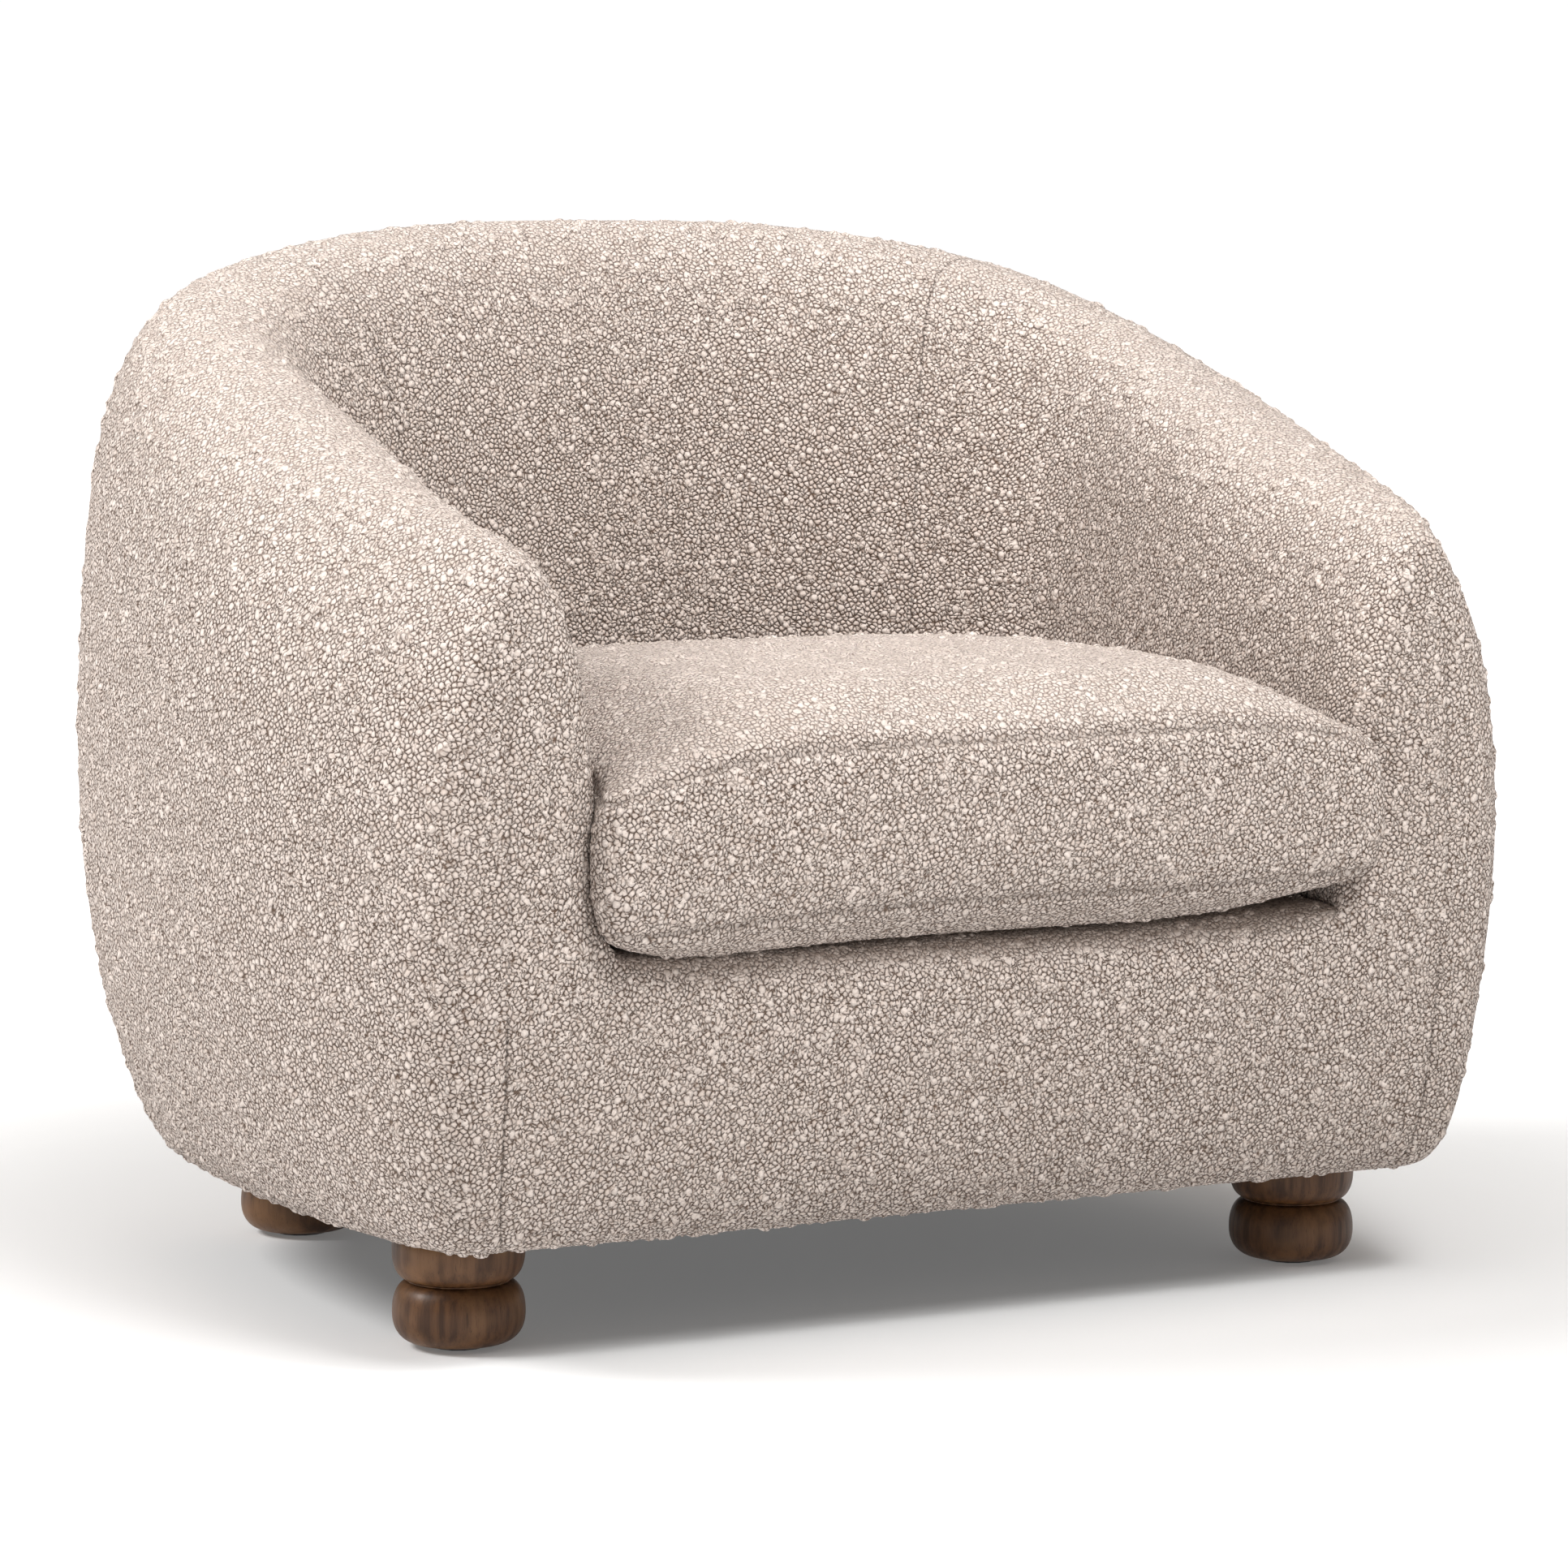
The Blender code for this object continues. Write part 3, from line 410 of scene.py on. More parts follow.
# ---- upholstered wall -----------------------------------------------------------------------
FRONT_Y, HEM_Z, LOW_Z, SEAT_Z, MID_Z = -0.387, 0.088, 0.175, 0.307, 0.396
TUCK, TURN_UNDER, FRONT_TUCK = 0.066, 0.037, 0.032
SHOULDER_DROP, SHOULDER_IN, CREST_OUT_IN, CREST_INNER = 0.083, 0.015, 0.071, 0.046
SEAM_X, INNER_X = 0.409, 0.3146
# outer point, inner point, outward direction in plan, crest height, tuck share, lean of the inner face
STATIONS = (
    ((0.456, FRONT_Y), (INNER_X, FRONT_Y), 0.0, 0.593, 0.45, 0.0),
    ((0.496, -0.313), (INNER_X, -0.323), 0.0, 0.606, 0.75, 0.0),
    ((0.536, -0.166), (INNER_X, -0.203), 0.0, 0.638, 1.0, 0.0),
    ((0.536, 0.018), (INNER_X, -0.019), 0.0, 0.703, 1.0, 0.0),
    ((0.513, 0.202), (0.310, 0.110), 20.0, 0.754, 1.0, 0.025),
    ((0.451, 0.320), (0.207, 0.122), 45.0, 0.796, 1.0, 0.062),
    ((0.226, 0.402), (0.104, 0.149), 81.4, 0.826, 1.0, 0.062),
    ((0.0, 0.4155), (0.0, 0.154), 90.0, 0.826, 1.0, 0.062),
)
ROWS = ("under", "hem", "low", "seat", "mid", "shoulder", "crest_out", "ridge", "crest_in",
        "in_shoulder", "in_mid", "in_seat")
BACK_SEAM_STATION = 5
LEVEL = 5                    # subdivision of the wall's cage


def rib(station):
    """Control points of the wall's section at one station, from under the hem over the crest."""
    (ox, oy), (ix, iy), angle, crest, share, lean = station
    nx, ny = math.cos(math.radians(angle)), math.sin(math.radians(angle))
    tuck = TUCK * share
    rise = 0.35 * (crest - STATIONS[0][3])

    def outer(off, z):
        return (ox + nx * off, oy + ny * off, z)

    def inner(off, z):
        return (ix + nx * off, iy + ny * off, z)

    return (outer(-tuck - TURN_UNDER, HEM_Z), outer(-tuck, HEM_Z), outer(-0.45 * tuck, LOW_Z),
            outer(-0.03 * tuck, SEAT_Z), outer(0.0, MID_Z + rise), outer(-SHOULDER_IN, crest - SHOULDER_DROP),
            outer(-CREST_OUT_IN, crest), ((ox + ix) / 2, (oy + iy) / 2, crest + 0.011),
            inner(CREST_INNER + lean, crest - 0.004), inner(0.011 + 0.8 * lean, crest - SHOULDER_DROP),
            inner(0.35 * lean, MID_Z + rise), inner(0.0, SEAT_Z))


def half_cage():
    """Right half of the cage: named control points, faces as (names, panel, patch), creased edges."""
    points, faces = {}, []
    for i, station in enumerate(STATIONS):
        for row, point in zip(ROWS, rib(station)):
            points[i, row] = point
    for i in range(len(STATIONS) - 1):
        panel = "arm" if i < BACK_SEAM_STATION else "back"
        for a, b in zip(ROWS, ROWS[1:]):
            faces.append((((i, a), (i, b), (i + 1, b), (i + 1, a)), panel, "long" if 0 < i != 4 else "wall"))
    setback = {"under": FRONT_TUCK + TURN_UNDER, "hem": FRONT_TUCK, "low": 0.013, "seat": -0.004,
               "mid": -0.004, "shoulder": 0.0}
    for row, back in setback.items():
        z = points[0, row][2]
        points["seam", row] = (SEAM_X - (TURN_UNDER if row == "under" else 0.0), FRONT_Y + back, z)
        if row in ("under", "hem", "low"):
            points[0, row] = (points[0, row][0], FRONT_Y + back, z)
            for name, share in (("corner", 1.0), ("quarter", 0.5), ("centre", 0.0)):
                points[name, row] = (INNER_X * share, FRONT_Y + back, z)
    levels = tuple(setback)
    for a, b in zip(levels, levels[1:]):
        faces.append(((("seam", a), ("seam", b), (0, b), (0, a)), "arm", "nose_out"))
    faces.append(((("seam", "shoulder"), (0, "ridge"), (0, "crest_out"), (0, "shoulder")), "arm", "nose_out"))
    for names in ((("corner", "under"), ("corner", "hem"), ("seam", "hem"), ("seam", "under")),
                  (("corner", "hem"), ("corner", "low"), ("seam", "low"), ("seam", "hem")),
                  (("corner", "low"), (0, "in_seat"), ("seam", "seat"), ("seam", "low"))):
        faces.append((names, "front", "wall"))
    for names in (((0, "in_seat"), (0, "in_mid"), ("seam", "mid"), ("seam", "seat")),
                  ((0, "in_mid"), (0, "in_shoulder"), ("seam", "shoulder"), ("seam", "mid")),
                  ((0, "in_shoulder"), (0, "crest_in"), (0, "ridge"), ("seam", "shoulder"))):
        faces.append((names, "arm", "nose_in"))
    for name, share in (("quarter", 0.5), ("centre", 0.0)):
        points[name, "lip"] = (INNER_X * share, FRONT_Y, SEAT_Z - 0.004)
        points[name, "top"] = (INNER_X * share, STATIONS[1][1][1], SEAT_Z - 0.005)
        points[name, "deck"] = (INNER_X * share, STATIONS[2][1][1], SEAT_Z - 0.005)
    corner = {"under": ("corner", "under"), "hem": ("corner", "hem"), "low": ("corner", "low"),
              "lip": (0, "in_seat"), "top": (1, "in_seat"), "deck": (2, "in_seat")}
    names = tuple(corner)
    for left, right in (("corner", "quarter"), ("quarter", "centre")):
        for a, b in zip(names, names[1:]):
            quad = [corner[k] if column == "corner" else (column, k)
                    for column, k in ((right, a), (right, b), (left, b), (left, a))]
            faces.append((tuple(quad), "front", "long"))
    creases = [((i, "in_seat"), (i + 1, "in_seat")) for i in range(2)]
    return points, faces, creases


PANELS = ("arm_left", "back", "arm_right", "front")


def smooth_wall():
    """The wall's smooth surface: points, quads facing out, each quad's cage face, the cage faces' data."""
    points, half, creases = half_cage()
    verts, index = [], {}
    for key, (x, y, z) in points.items():
        for side in (1, -1):
            if side == -1 and abs(x) < 1e-9:
                index[key, side] = index[key, 1]
            else:
                index[key, side] = len(verts)
                verts.append((side * x, y, z))
    faces, panel, patch = [], [], []
    for names, kind, zone in half:
        for side in (1, -1):
            loop = [index[key, side] for key in names]
            # the mirrored loop starts where its first edge still runs up the wall
            faces.append(loop if side == 1 else [loop[1], loop[0], loop[3], loop[2]])
            panel.append(PANELS.index({"arm": "arm_right" if side == 1 else "arm_left"}.get(kind, kind)))
            patch.append(zone)
    mesh = bpy.data.meshes.new("cage")
    mesh.from_pydata(verts, [], faces)
    mesh.polygons.foreach_set("material_index", list(range(len(faces))))
    crease = mesh.attributes.new("crease_edge", "FLOAT", "EDGE")
    sharp = {frozenset((index[a, side], index[b, side])) for a, b in creases for side in (1, -1)}
    for edge in mesh.edges:
        crease.data[edge.index].value = 1.0 if frozenset(edge.vertices) in sharp else 0.0
    for _ in faces:
        mesh.materials.append(None)
    ob = placed("cage", mesh)
    sub = ob.modifiers.new("smooth", "SUBSURF")
    sub.levels = sub.render_levels = LEVEL
    sub.boundary_smooth = "ALL"
    done, co, quads = evaluated(ob)
    cage_face = np.zeros(len(quads), np.int64)
    done.polygons.foreach_get("material_index", cage_face)
    bpy.data.objects.remove(ob, do_unlink=True)
    return co, quads[:, ::-1], cage_face, np.array(panel), np.array(patch)


WALL_V, WALL_Q, CAGE_FACE, CAGE_PANEL, CAGE_PATCH = smooth_wall()


def halve_long(verts, quads, cage_face):
    """Split the quads of the long patches in two along the wall, for an even spacing."""
    long = CAGE_PATCH[cage_face] == "long"
    q = quads[long]
    along = np.sort(np.vstack([q[:, [1, 2]], q[:, [3, 0]]]), axis=1)
    edges, place = np.unique(along, axis=0, return_inverse=True)
    middle = len(verts) + place.reshape(2, -1)
    near = np.column_stack([q[:, 0], q[:, 1], middle[0], middle[1]])
    far = np.column_stack([middle[1], middle[0], q[:, 2], q[:, 3]])
    return (np.vstack([verts, verts[edges].mean(axis=1)]), np.vstack([quads[~long], near, far]),
            np.concatenate([cage_face[~long], cage_face[long], cage_face[long]]))


def distance_to(verts, line, reach):
    """Distance from every vertex to the nearest of some points, up to a reach."""
    tree = tree_of(verts)
    away = np.full(len(verts), reach)
    for p in line:
        for _, k, d in tree.find_range(p, reach):
            if d < away[k]:
                away[k] = d
    return away


def rim_of(quads):
    """Boundary edges of some quads, each along its quad's winding."""
    edges = edges_of(quads)
    _, place, count = np.unique(np.sort(edges, axis=1), axis=0, return_inverse=True, return_counts=True)
    return edges[count[place.reshape(-1)] == 1]


SEAM_DEPTH, SEAM_WIDTH, SEAM_REACH = 0.0013, 0.0022, 0.009
SEAM_SHADE_WIDTH = 0.0014          # of the painted shade line along a seam
SLUBS = {"per_m2": 3000, "radius": (0.0032, 0.0062)}
ROUGHNESS = 0.00022          # of the cloth between the slubs
WALL_V, WALL_Q, CAGE_FACE = halve_long(WALL_V, WALL_Q, CAGE_FACE)
WALL_N = normals_of(WALL_V, WALL_Q)
panel_of = CAGE_PANEL[CAGE_FACE]
patch_of = CAGE_PATCH[CAGE_FACE]


def shared(first, second):
    """Vertices that two sets of quads have in common."""
    return np.intersect1d(WALL_Q[first], WALL_Q[second])


sewn = set()
for k in range(len(PANELS)):
    for j in range(k):
        sewn.update(shared(panel_of == k, panel_of == j).tolist())
nose = shared(patch_of == "nose_out", patch_of == "nose_in")
nose = nose[WALL_V[nose, 2] < STATIONS[0][3] - 0.018]
# the join across the front of each arm, level with the seat, is drawn tight and doesn't show
plain = {k for k in sewn
         if WALL_V[k, 1] < -0.365 and WALL_V[k, 2] > 0.270 and abs(WALL_V[k, 0]) < SEAM_X - 0.006}
seam_points = WALL_V[sorted(sewn - plain)]
to_seam = distance_to(WALL_V, seam_points, SEAM_REACH)
to_nose = distance_to(WALL_V, WALL_V[nose], SEAM_REACH)
nose_share = np.clip((0.560 - WALL_V[:, 2]) / 0.080, 0, 1)

rng = np.random.default_rng(11)
relief, nub = slubs(WALL_V, WALL_Q, rng, height=(0.0014, 0.0032), **SLUBS)
relief += ROUGHNESS * rng.normal(size=len(WALL_V)).clip(-1.6, 1.6)
fade = np.clip((to_seam - 0.0012) / 0.0032, 0, 1)
fade *= 1 - nose_share * np.clip(1 - (to_nose - 0.0008) / 0.003, 0, 1)
faint = np.where(WALL_V[:, 1] > 0.0, 0.25, 1.0)          # the seams beside the back barely show
groove = faint * np.exp(-(to_seam / SEAM_WIDTH) ** 2) + 0.75 * nose_share * np.exp(-(to_nose / 0.0021) ** 2)
skin = WALL_V + WALL_N * (relief * fade - SEAM_DEPTH * groove)[:, None]
# painted shade: a dark line in the groove of each seam and along the arm's nose
seam_shade_line = np.maximum(0.65 * faint * np.exp(-(to_seam / SEAM_SHADE_WIDTH) ** 2),
                       0.60 * nose_share * np.exp(-(to_nose / SEAM_SHADE_WIDTH) ** 2))


def wall_panel(number, name):
    """One sewn panel of the wall, its edges turned in at the seams and pulled down round the seat."""
    quads = WALL_Q[panel_of == number]
    used, place = np.unique(quads, return_inverse=True)
    quads = place.reshape(-1, 4)
    verts, outward = skin[used].copy(), WALL_N[used]
    rim = rim_of(quads)
    on_rim = np.unique(rim)
    centre = verts[quads].mean(axis=1)
    pull, near = np.zeros_like(verts), np.zeros(len(verts))
    for k in range(4):
        np.add.at(pull, quads[:, k], centre)
        np.add.at(near, quads[:, k], 1)
    inward = (pull / near[:, None] - verts)[on_rim]
    inward /= np.linalg.norm(inward, axis=1)[:, None]
    at_seam = np.isin(used[on_rim], list(sewn))
    hidden = np.isin(used[on_rim], list(plain))
    verts[on_rim] += inward * np.where(at_seam & ~hidden, 0.00018, 0.0)[:, None]
    turn = np.where(at_seam[:, None], -outward[on_rim] * 0.006, 0.0)
    low = verts[on_rim, 2] < 0.12
    turn[~at_seam & low] = (0, 0, 0.008)
    turn[~at_seam & ~low] = (0, 0, -0.022)
    below = np.zeros(len(verts), int)
    below[on_rim] = len(verts) + np.arange(len(on_rim))
    rim = rim[~np.isin(used[rim], list(plain)).all(axis=1)]
    skirt = np.column_stack([rim[:, 1], rim[:, 0], below[rim[:, 0]], below[rim[:, 1]]])
    verts = np.vstack([verts, verts[on_rim] + turn])
    nubs = np.concatenate([(nub * fade)[used], np.zeros(len(on_rim))])
    # painted shade: full on the edges turned in at a seam, lighter on the edges turned under
    seam_shades = np.concatenate([seam_shade_line[used], np.where(at_seam, 1.0, 0.3)])
    return mesh_object(name, verts, np.vstack([quads, skirt]), CLOTH, "chair",
                       {"nub": nubs, "seam": seam_shades, "facing": np.vstack([outward, outward[on_rim]])})


for number, panel in enumerate(PANELS):
    piece = wall_panel(number, "upholstery_" + panel)
    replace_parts(piece, "cover_" + panel, "foam_" + panel)

# ---- loose seat cushion ---------------------------------------------------------------------
CUSHION_BACK_Y, CUSHION_FRONT_Y = 0.111, -0.407
HALF_W, FLARE = 0.3075, 0.0265
CORNER_X = 0.333             # half width over the flared front corners
FRONT_R, BACK_R = 0.022, 0.118
COLUMNS, LINES, BAND = 104, 86, 18
FRAMES, SWELL_CAP, EASING = 20, 0.024, 24    # of the simulation, and rounds that smooth its movement


def ahead_of(y, start, reach):
    """Share of the way forward over a reach: 0 up to its start, 1 past its end."""
    return np.clip((start - y) / reach, 0, 1)


def cushion_outline():
    """Plan of the cushion as four sides from corner to corner: front, right, back, left."""
    corners = ((-1, CUSHION_FRONT_Y, FRONT_R), (1, CUSHION_FRONT_Y, FRONT_R), (1, CUSHION_BACK_Y, BACK_R),
               (-1, CUSHION_BACK_Y, BACK_R))
    arcs = []
    for number, (side, y, r) in enumerate(corners):
        cx, cy = side * (HALF_W - r), y + (r if y < 0 else -r)
        start = (180, 270, 0, 90)[number]
        arcs.append([(cx + r * math.cos(math.radians(start + a)), cy + r * math.sin(math.radians(start + a)))
                     for a in np.linspace(0, 90, 31)])
    sides = []
    for number, count in enumerate((COLUMNS, LINES, COLUMNS, LINES)):
        line = np.array(arcs[number][15:] + arcs[(number + 1) % 4][:16])
        ends = np.concatenate([[0], np.cumsum(np.linalg.norm(np.diff(line, axis=0), axis=1))])
        even = np.linspace(0, ends[-1], count + 1)
        side = np.column_stack([np.interp(even, ends, line[:, k]) for k in range(2)])
        x, y = side.T
        widening = np.where(x < 0, ahead_of(y, -0.300, 0.095) ** 2.0, ahead_of(y, -0.330, 0.070) ** 3.0)
        side[:, 0] *= 1 + FLARE / HALF_W * widening
        sides.append(side)
    return sides


def seam_height(x, y, low):
    """Height of the cushion's seams: they bow apart between the front corners, less so on the right."""
    ahead = ahead_of(y, -0.24, 0.12)
    if low:
        tilt = 0.009 * np.clip((x - 0.14) / 0.18, 0, 1) - 0.006 * np.clip(-x / 0.3, 0, 1) ** 2
        return 0.328 + ahead * (0.002 * (1 - (x / CORNER_X) ** 2) + tilt)
    drop = np.where(x < 0, 0.036, 0.024) * np.clip(np.abs(x) / CORNER_X, 0, 1) ** np.where(x < 0, 3.4, 6.0)
    return 0.434 + ahead * (0.019 - drop)


def patch_between(sides, low, crown, full):
    """Grid of points over the plan: flat along the seams, crowned in the middle."""
    front, right, back, left = (np.column_stack([s, seam_height(s[:, 0], s[:, 1], low)]) for s in sides)
    back, left = back[::-1], left[::-1]
    u = np.linspace(0, 1, COLUMNS + 1)[None, :, None]
    v = np.linspace(0, 1, LINES + 1)[:, None, None]
    grid = ((1 - u) * left[:, None] + u * right[:, None] + (1 - v) * front[None] + v * back[None]
            - (1 - u) * (1 - v) * front[0] - u * (1 - v) * front[-1]
            - (1 - u) * v * back[0] - u * v * back[-1])
    rise = (1 - (2 * u - 1) ** full) * (1 - (2 * v - 1) ** full)
    grid[:, :, 2] += crown * rise[:, :, 0] ** 0.6
    return grid


def cushion_form():
    """Boxed cushion before it swells: points, quads facing out, the vertices on its seams, those held."""
    sides = cushion_outline()
    top, bottom = patch_between(sides, False, 0.058, 4), patch_between(sides, True, -0.024, 10)
    verts = [top.reshape(-1, 3), bottom.reshape(-1, 3)]
    index = np.arange((LINES + 1) * (COLUMNS + 1)).reshape(LINES + 1, COLUMNS + 1)
    quads = [np.column_stack([index[:-1, :-1].ravel(), index[:-1, 1:].ravel(), index[1:, 1:].ravel(),
                              index[1:, :-1].ravel()])]
    quads.append(quads[0][:, ::-1] + index.size)
    loop = np.concatenate([index[0, :-1], index[:-1, -1], index[-1, :0:-1], index[:0:-1, 0]])
    high, low = verts[0][loop], verts[1][loop]
    ahead, behind = np.roll(high, -1, axis=0), np.roll(high, 1, axis=0)
    tangent = (ahead - behind)[:, :2]
    out = np.column_stack([tangent[:, 1], -tangent[:, 0], np.zeros(len(loop))])
    out /= np.linalg.norm(out, axis=1)[:, None]
    rows = [loop + index.size]
    start = 2 * index.size
    for k in range(1, BAND):
        t = k / BAND
        verts.append(low * (1 - t) + high * t + out * 0.008 * math.sin(math.pi * t))
        rows.append(start + np.arange(len(loop)))
        start += len(loop)
    rows.append(loop)
    for a, b in zip(rows, rows[1:]):
        quads.append(np.column_stack([a, np.roll(a, -1), np.roll(b, -1), b]))
    seams = np.concatenate([rows[0], rows[-1]])
    verts = np.vstack(verts)
    corners = verts[[index[0, 0], index[0, -1], index[-1, 0], index[-1, -1]]][:, :2]
    near = np.linalg.norm(verts[seams][:, None, :2] - corners[None], axis=2).min(axis=1)
    return verts, np.vstack(quads), seams, seams[near < 0.020]


def eased(values, quads, rounds):
    """Values at the vertices, averaged with their neighbours a number of times."""
    ends = np.unique(np.sort(edges_of(quads), axis=1), axis=0)
    count = np.bincount(ends.ravel(), minlength=len(values))[:, None]
    for _ in range(rounds):
        total = np.zeros_like(values)
        for k in range(values.shape[1]):
            total[:, k] = (np.bincount(ends[:, 0], values[ends[:, 1], k], len(values))
                           + np.bincount(ends[:, 1], values[ends[:, 0], k], len(values)))
        values = (values + total / count) / 2
    return values


def swell(verts, quads, held, cap):
    """Blow a closed cloth form up a little, some points held and none moving further than the cap."""
    mesh = bpy.data.meshes.new("form")
    mesh.from_pydata(verts.tolist(), [], quads.tolist())
    ob = placed("form", mesh)
    ob.vertex_groups.new(name="held").add(held.tolist(), 1.0, "REPLACE")
    cloth = ob.modifiers.new("swell", "CLOTH")
    settings = cloth.settings
    settings.vertex_group_mass = "held"
    settings.quality = 5
    settings.mass = 0.3
    settings.tension_stiffness = settings.compression_stiffness = 15
    settings.use_pressure = True
    settings.uniform_pressure_force = 4.0
    settings.effector_weights.gravity = 0.0
    cloth.point_cache.frame_start, cloth.point_cache.frame_end = 1, FRAMES
    for k in range(1, FRAMES + 1):
        scene.frame_set(k)
    move = eased(evaluated(ob)[1] - verts, quads, EASING)
    scene.frame_set(1)
    bpy.data.objects.remove(ob, do_unlink=True)
    far = np.linalg.norm(move, axis=1)
    return verts + move * np.minimum(1, cap / np.maximum(far, 1e-9))[:, None]


def soft_limit(value, limit, give):
    """Value kept under a limit, rounding off over the last of the way."""
    over = np.maximum(value - (limit - give), 0)
    return np.where(over > 0, limit - give + give * (1 - np.exp(-over / give)), value)


form, form_quads, form_seams, form_corners = cushion_form()
form = swell(form, form_quads, form_corners, SWELL_CAP)
# the arms, the back, the front panel and the deck leave the cushion this much room
side_limit = np.where(form[:, 0] < 0, 0.3115 + 0.028 * ahead_of(form[:, 1], -0.335, 0.050) ** 1.2,
                      0.3105 + 0.029 * ahead_of(form[:, 1], -0.350, 0.040) ** 2)
form[:, 0] = np.sign(form[:, 0]) * soft_limit(np.abs(form[:, 0]), side_limit, 0.005)
form[:, 1] = soft_limit(form[:, 1], 0.1145, 0.005)
form[:, 1] = -soft_limit(-form[:, 1], 0.4175, 0.008)
overhang = 0.017 - 0.001 * np.clip((form[:, 0] + 0.25) / 0.35, 0, 1)
under_limit = 0.3075 - overhang * ahead_of(form[:, 1], -0.350, 0.030)
form[:, 2] = -soft_limit(-form[:, 2], -under_limit, 0.005)
form[:, 2] = soft_limit(form[:, 2], 0.5000, 0.010)


def refined(verts, quads, marked):
    """One smooth subdivision: points, quads, and a mark that stays near 1 on the marked lines."""
    mesh = bpy.data.meshes.new("coarse")
    mesh.from_pydata(verts.tolist(), [], quads.tolist())
    mark = np.zeros(len(verts))
    mark[marked] = 1
    mesh.attributes.new("mark", "FLOAT", "POINT").data.foreach_set("value", mark.astype(np.float32))
    ob = placed("coarse", mesh)
    sub = ob.modifiers.new("smooth", "SUBSURF")
    sub.levels = sub.render_levels = 1
    done, co, out = evaluated(ob)
    mark = np.zeros(len(co), np.float32)
    done.attributes["mark"].data.foreach_get("value", mark)
    bpy.data.objects.remove(ob, do_unlink=True)
    return co, out, mark


pad_v, pad_q, pad_mark = refined(form, form_quads, form_seams)
pad_n = normals_of(pad_v, pad_q)
to_piping = distance_to(pad_v, pad_v[pad_mark > 0.95], SEAM_REACH)
relief, nub = slubs(pad_v, pad_q, rng, height=(0.0014, 0.0030), **SLUBS)
relief += ROUGHNESS * rng.normal(size=len(pad_v)).clip(-1.6, 1.6)
fade = np.clip((to_piping - 0.0010) / 0.0032, 0, 1)
zip_z = (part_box("zip_slider")[0].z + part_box("zip_slider")[1].z) / 2
by_zip = (pad_v[:, 1] > 0.105) & (np.abs(pad_v[:, 0]) < 0.206) & (np.abs(pad_v[:, 2] - zip_z) < 0.016)
fade[by_zip] = 0
pad_v = pad_v + pad_n * (relief * fade - 0.0015 * np.exp(-(to_piping / 0.0026) ** 2))[:, None]
# the seam attribute is painted shade along the piping
cushion = mesh_object("seat_cushion", pad_v, pad_q, CLOTH, "seat_cushion",
                      {"nub": nub * fade, "seam": 0.8 * np.exp(-(to_piping / 0.0016) ** 2), "facing": pad_n})
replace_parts(cushion, "cushion_top", "cushion_bottom", "cushion_boxing", "cushion_core")

# ---- zip at the back of the cushion ---------------------------------------------------------
def plain_piece(name, verts, faces, look, body, slot, angle=30.0):
    """A small piece from points and faces of any size, riding on a body."""
    mesh = bpy.data.meshes.new(name)
    mesh.from_pydata([tuple(v) for v in verts], [], [tuple(f) for f in faces])
    shape = bmesh.new()
    shape.from_mesh(mesh)
    bmesh.ops.recalc_face_normals(shape, faces=shape.faces)
    shape.to_mesh(mesh)
    shape.free()
    mesh.shade_smooth()
    mesh.set_sharp_from_angle(angle=math.radians(angle))
    return riding(name, mesh, look, body)


def blocks(list_of_boxes, bevel):
    """Points and faces of several bevelled boxes, each given by its lowest and highest corner."""
    shape = bmesh.new()
    for low, high in list_of_boxes:
        low, high = Vector(low), Vector(high)
        made = bmesh.ops.create_cube(shape, size=1.0)["verts"]
        for v in made:
            v.co = (low + high) / 2 + Vector(a * b for a, b in zip(v.co, high - low))
        edges = {e for v in made for e in v.link_edges}
        bmesh.ops.bevel(shape, geom=list(edges), offset=bevel, segments=2, affect="EDGES", profile=0.6)
    shape.verts.index_update()
    verts = [v.co.copy() for v in shape.verts]
    faces = [[v.index for v in f.verts] for f in shape.faces]
    shape.free()
    return verts, faces


ZIP_HALF, ZIP_Y = 0.200, 0.1152
ZIP_TEETH, TOOTH_PITCH = 160, 0.00245
parts = [((-ZIP_HALF, ZIP_Y, zip_z - 0.012), (ZIP_HALF, ZIP_Y + 0.0007, zip_z + 0.012))]
for k in range(ZIP_TEETH):
    x = -ZIP_HALF + 0.004 + k * TOOTH_PITCH
    middle = zip_z + (0.0003 if k % 2 else -0.0003)
    parts.append(((x, ZIP_Y + 0.0006, middle - 0.0021), (x + 0.0014, ZIP_Y + 0.0014, middle + 0.0021)))
tape = plain_piece("zip_tape", *blocks(parts, 0.0002), TAPE, "seat_cushion", "cover_cloth")
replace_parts(tape, "cushion_zip_band")
low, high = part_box("zip_slider")
mid_x = (low.x + high.x) / 2
parts = [((low.x, low.y, low.z), (high.x, low.y + 0.0014, high.z)),
         ((low.x + 0.0025, low.y + 0.0013, zip_z - 0.0014), (high.x - 0.0025, high.y, zip_z + 0.0014)),
         ((mid_x - 0.0026, low.y + 0.0015, zip_z - 0.0205), (mid_x + 0.0026, low.y + 0.0026, zip_z - 0.0012))]
slider = plain_piece("zip_pull", *blocks(parts, 0.0005), STEEL, "zip_slider", "steel")
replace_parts(slider, "zip_slider")

# ---- turned feet ----------------------------------------------------------------------------
FOOT_R, FOOT_LOW, LOWER_TOP, UPPER_LOW, FOOT_TOP = 0.0497, 0.0034, 0.0492, 0.0510, 0.0862
BOLT_BORE, BOLT_END = 0.0046, 0.0456
BUN_STEPS, SEGMENTS = 44, 96


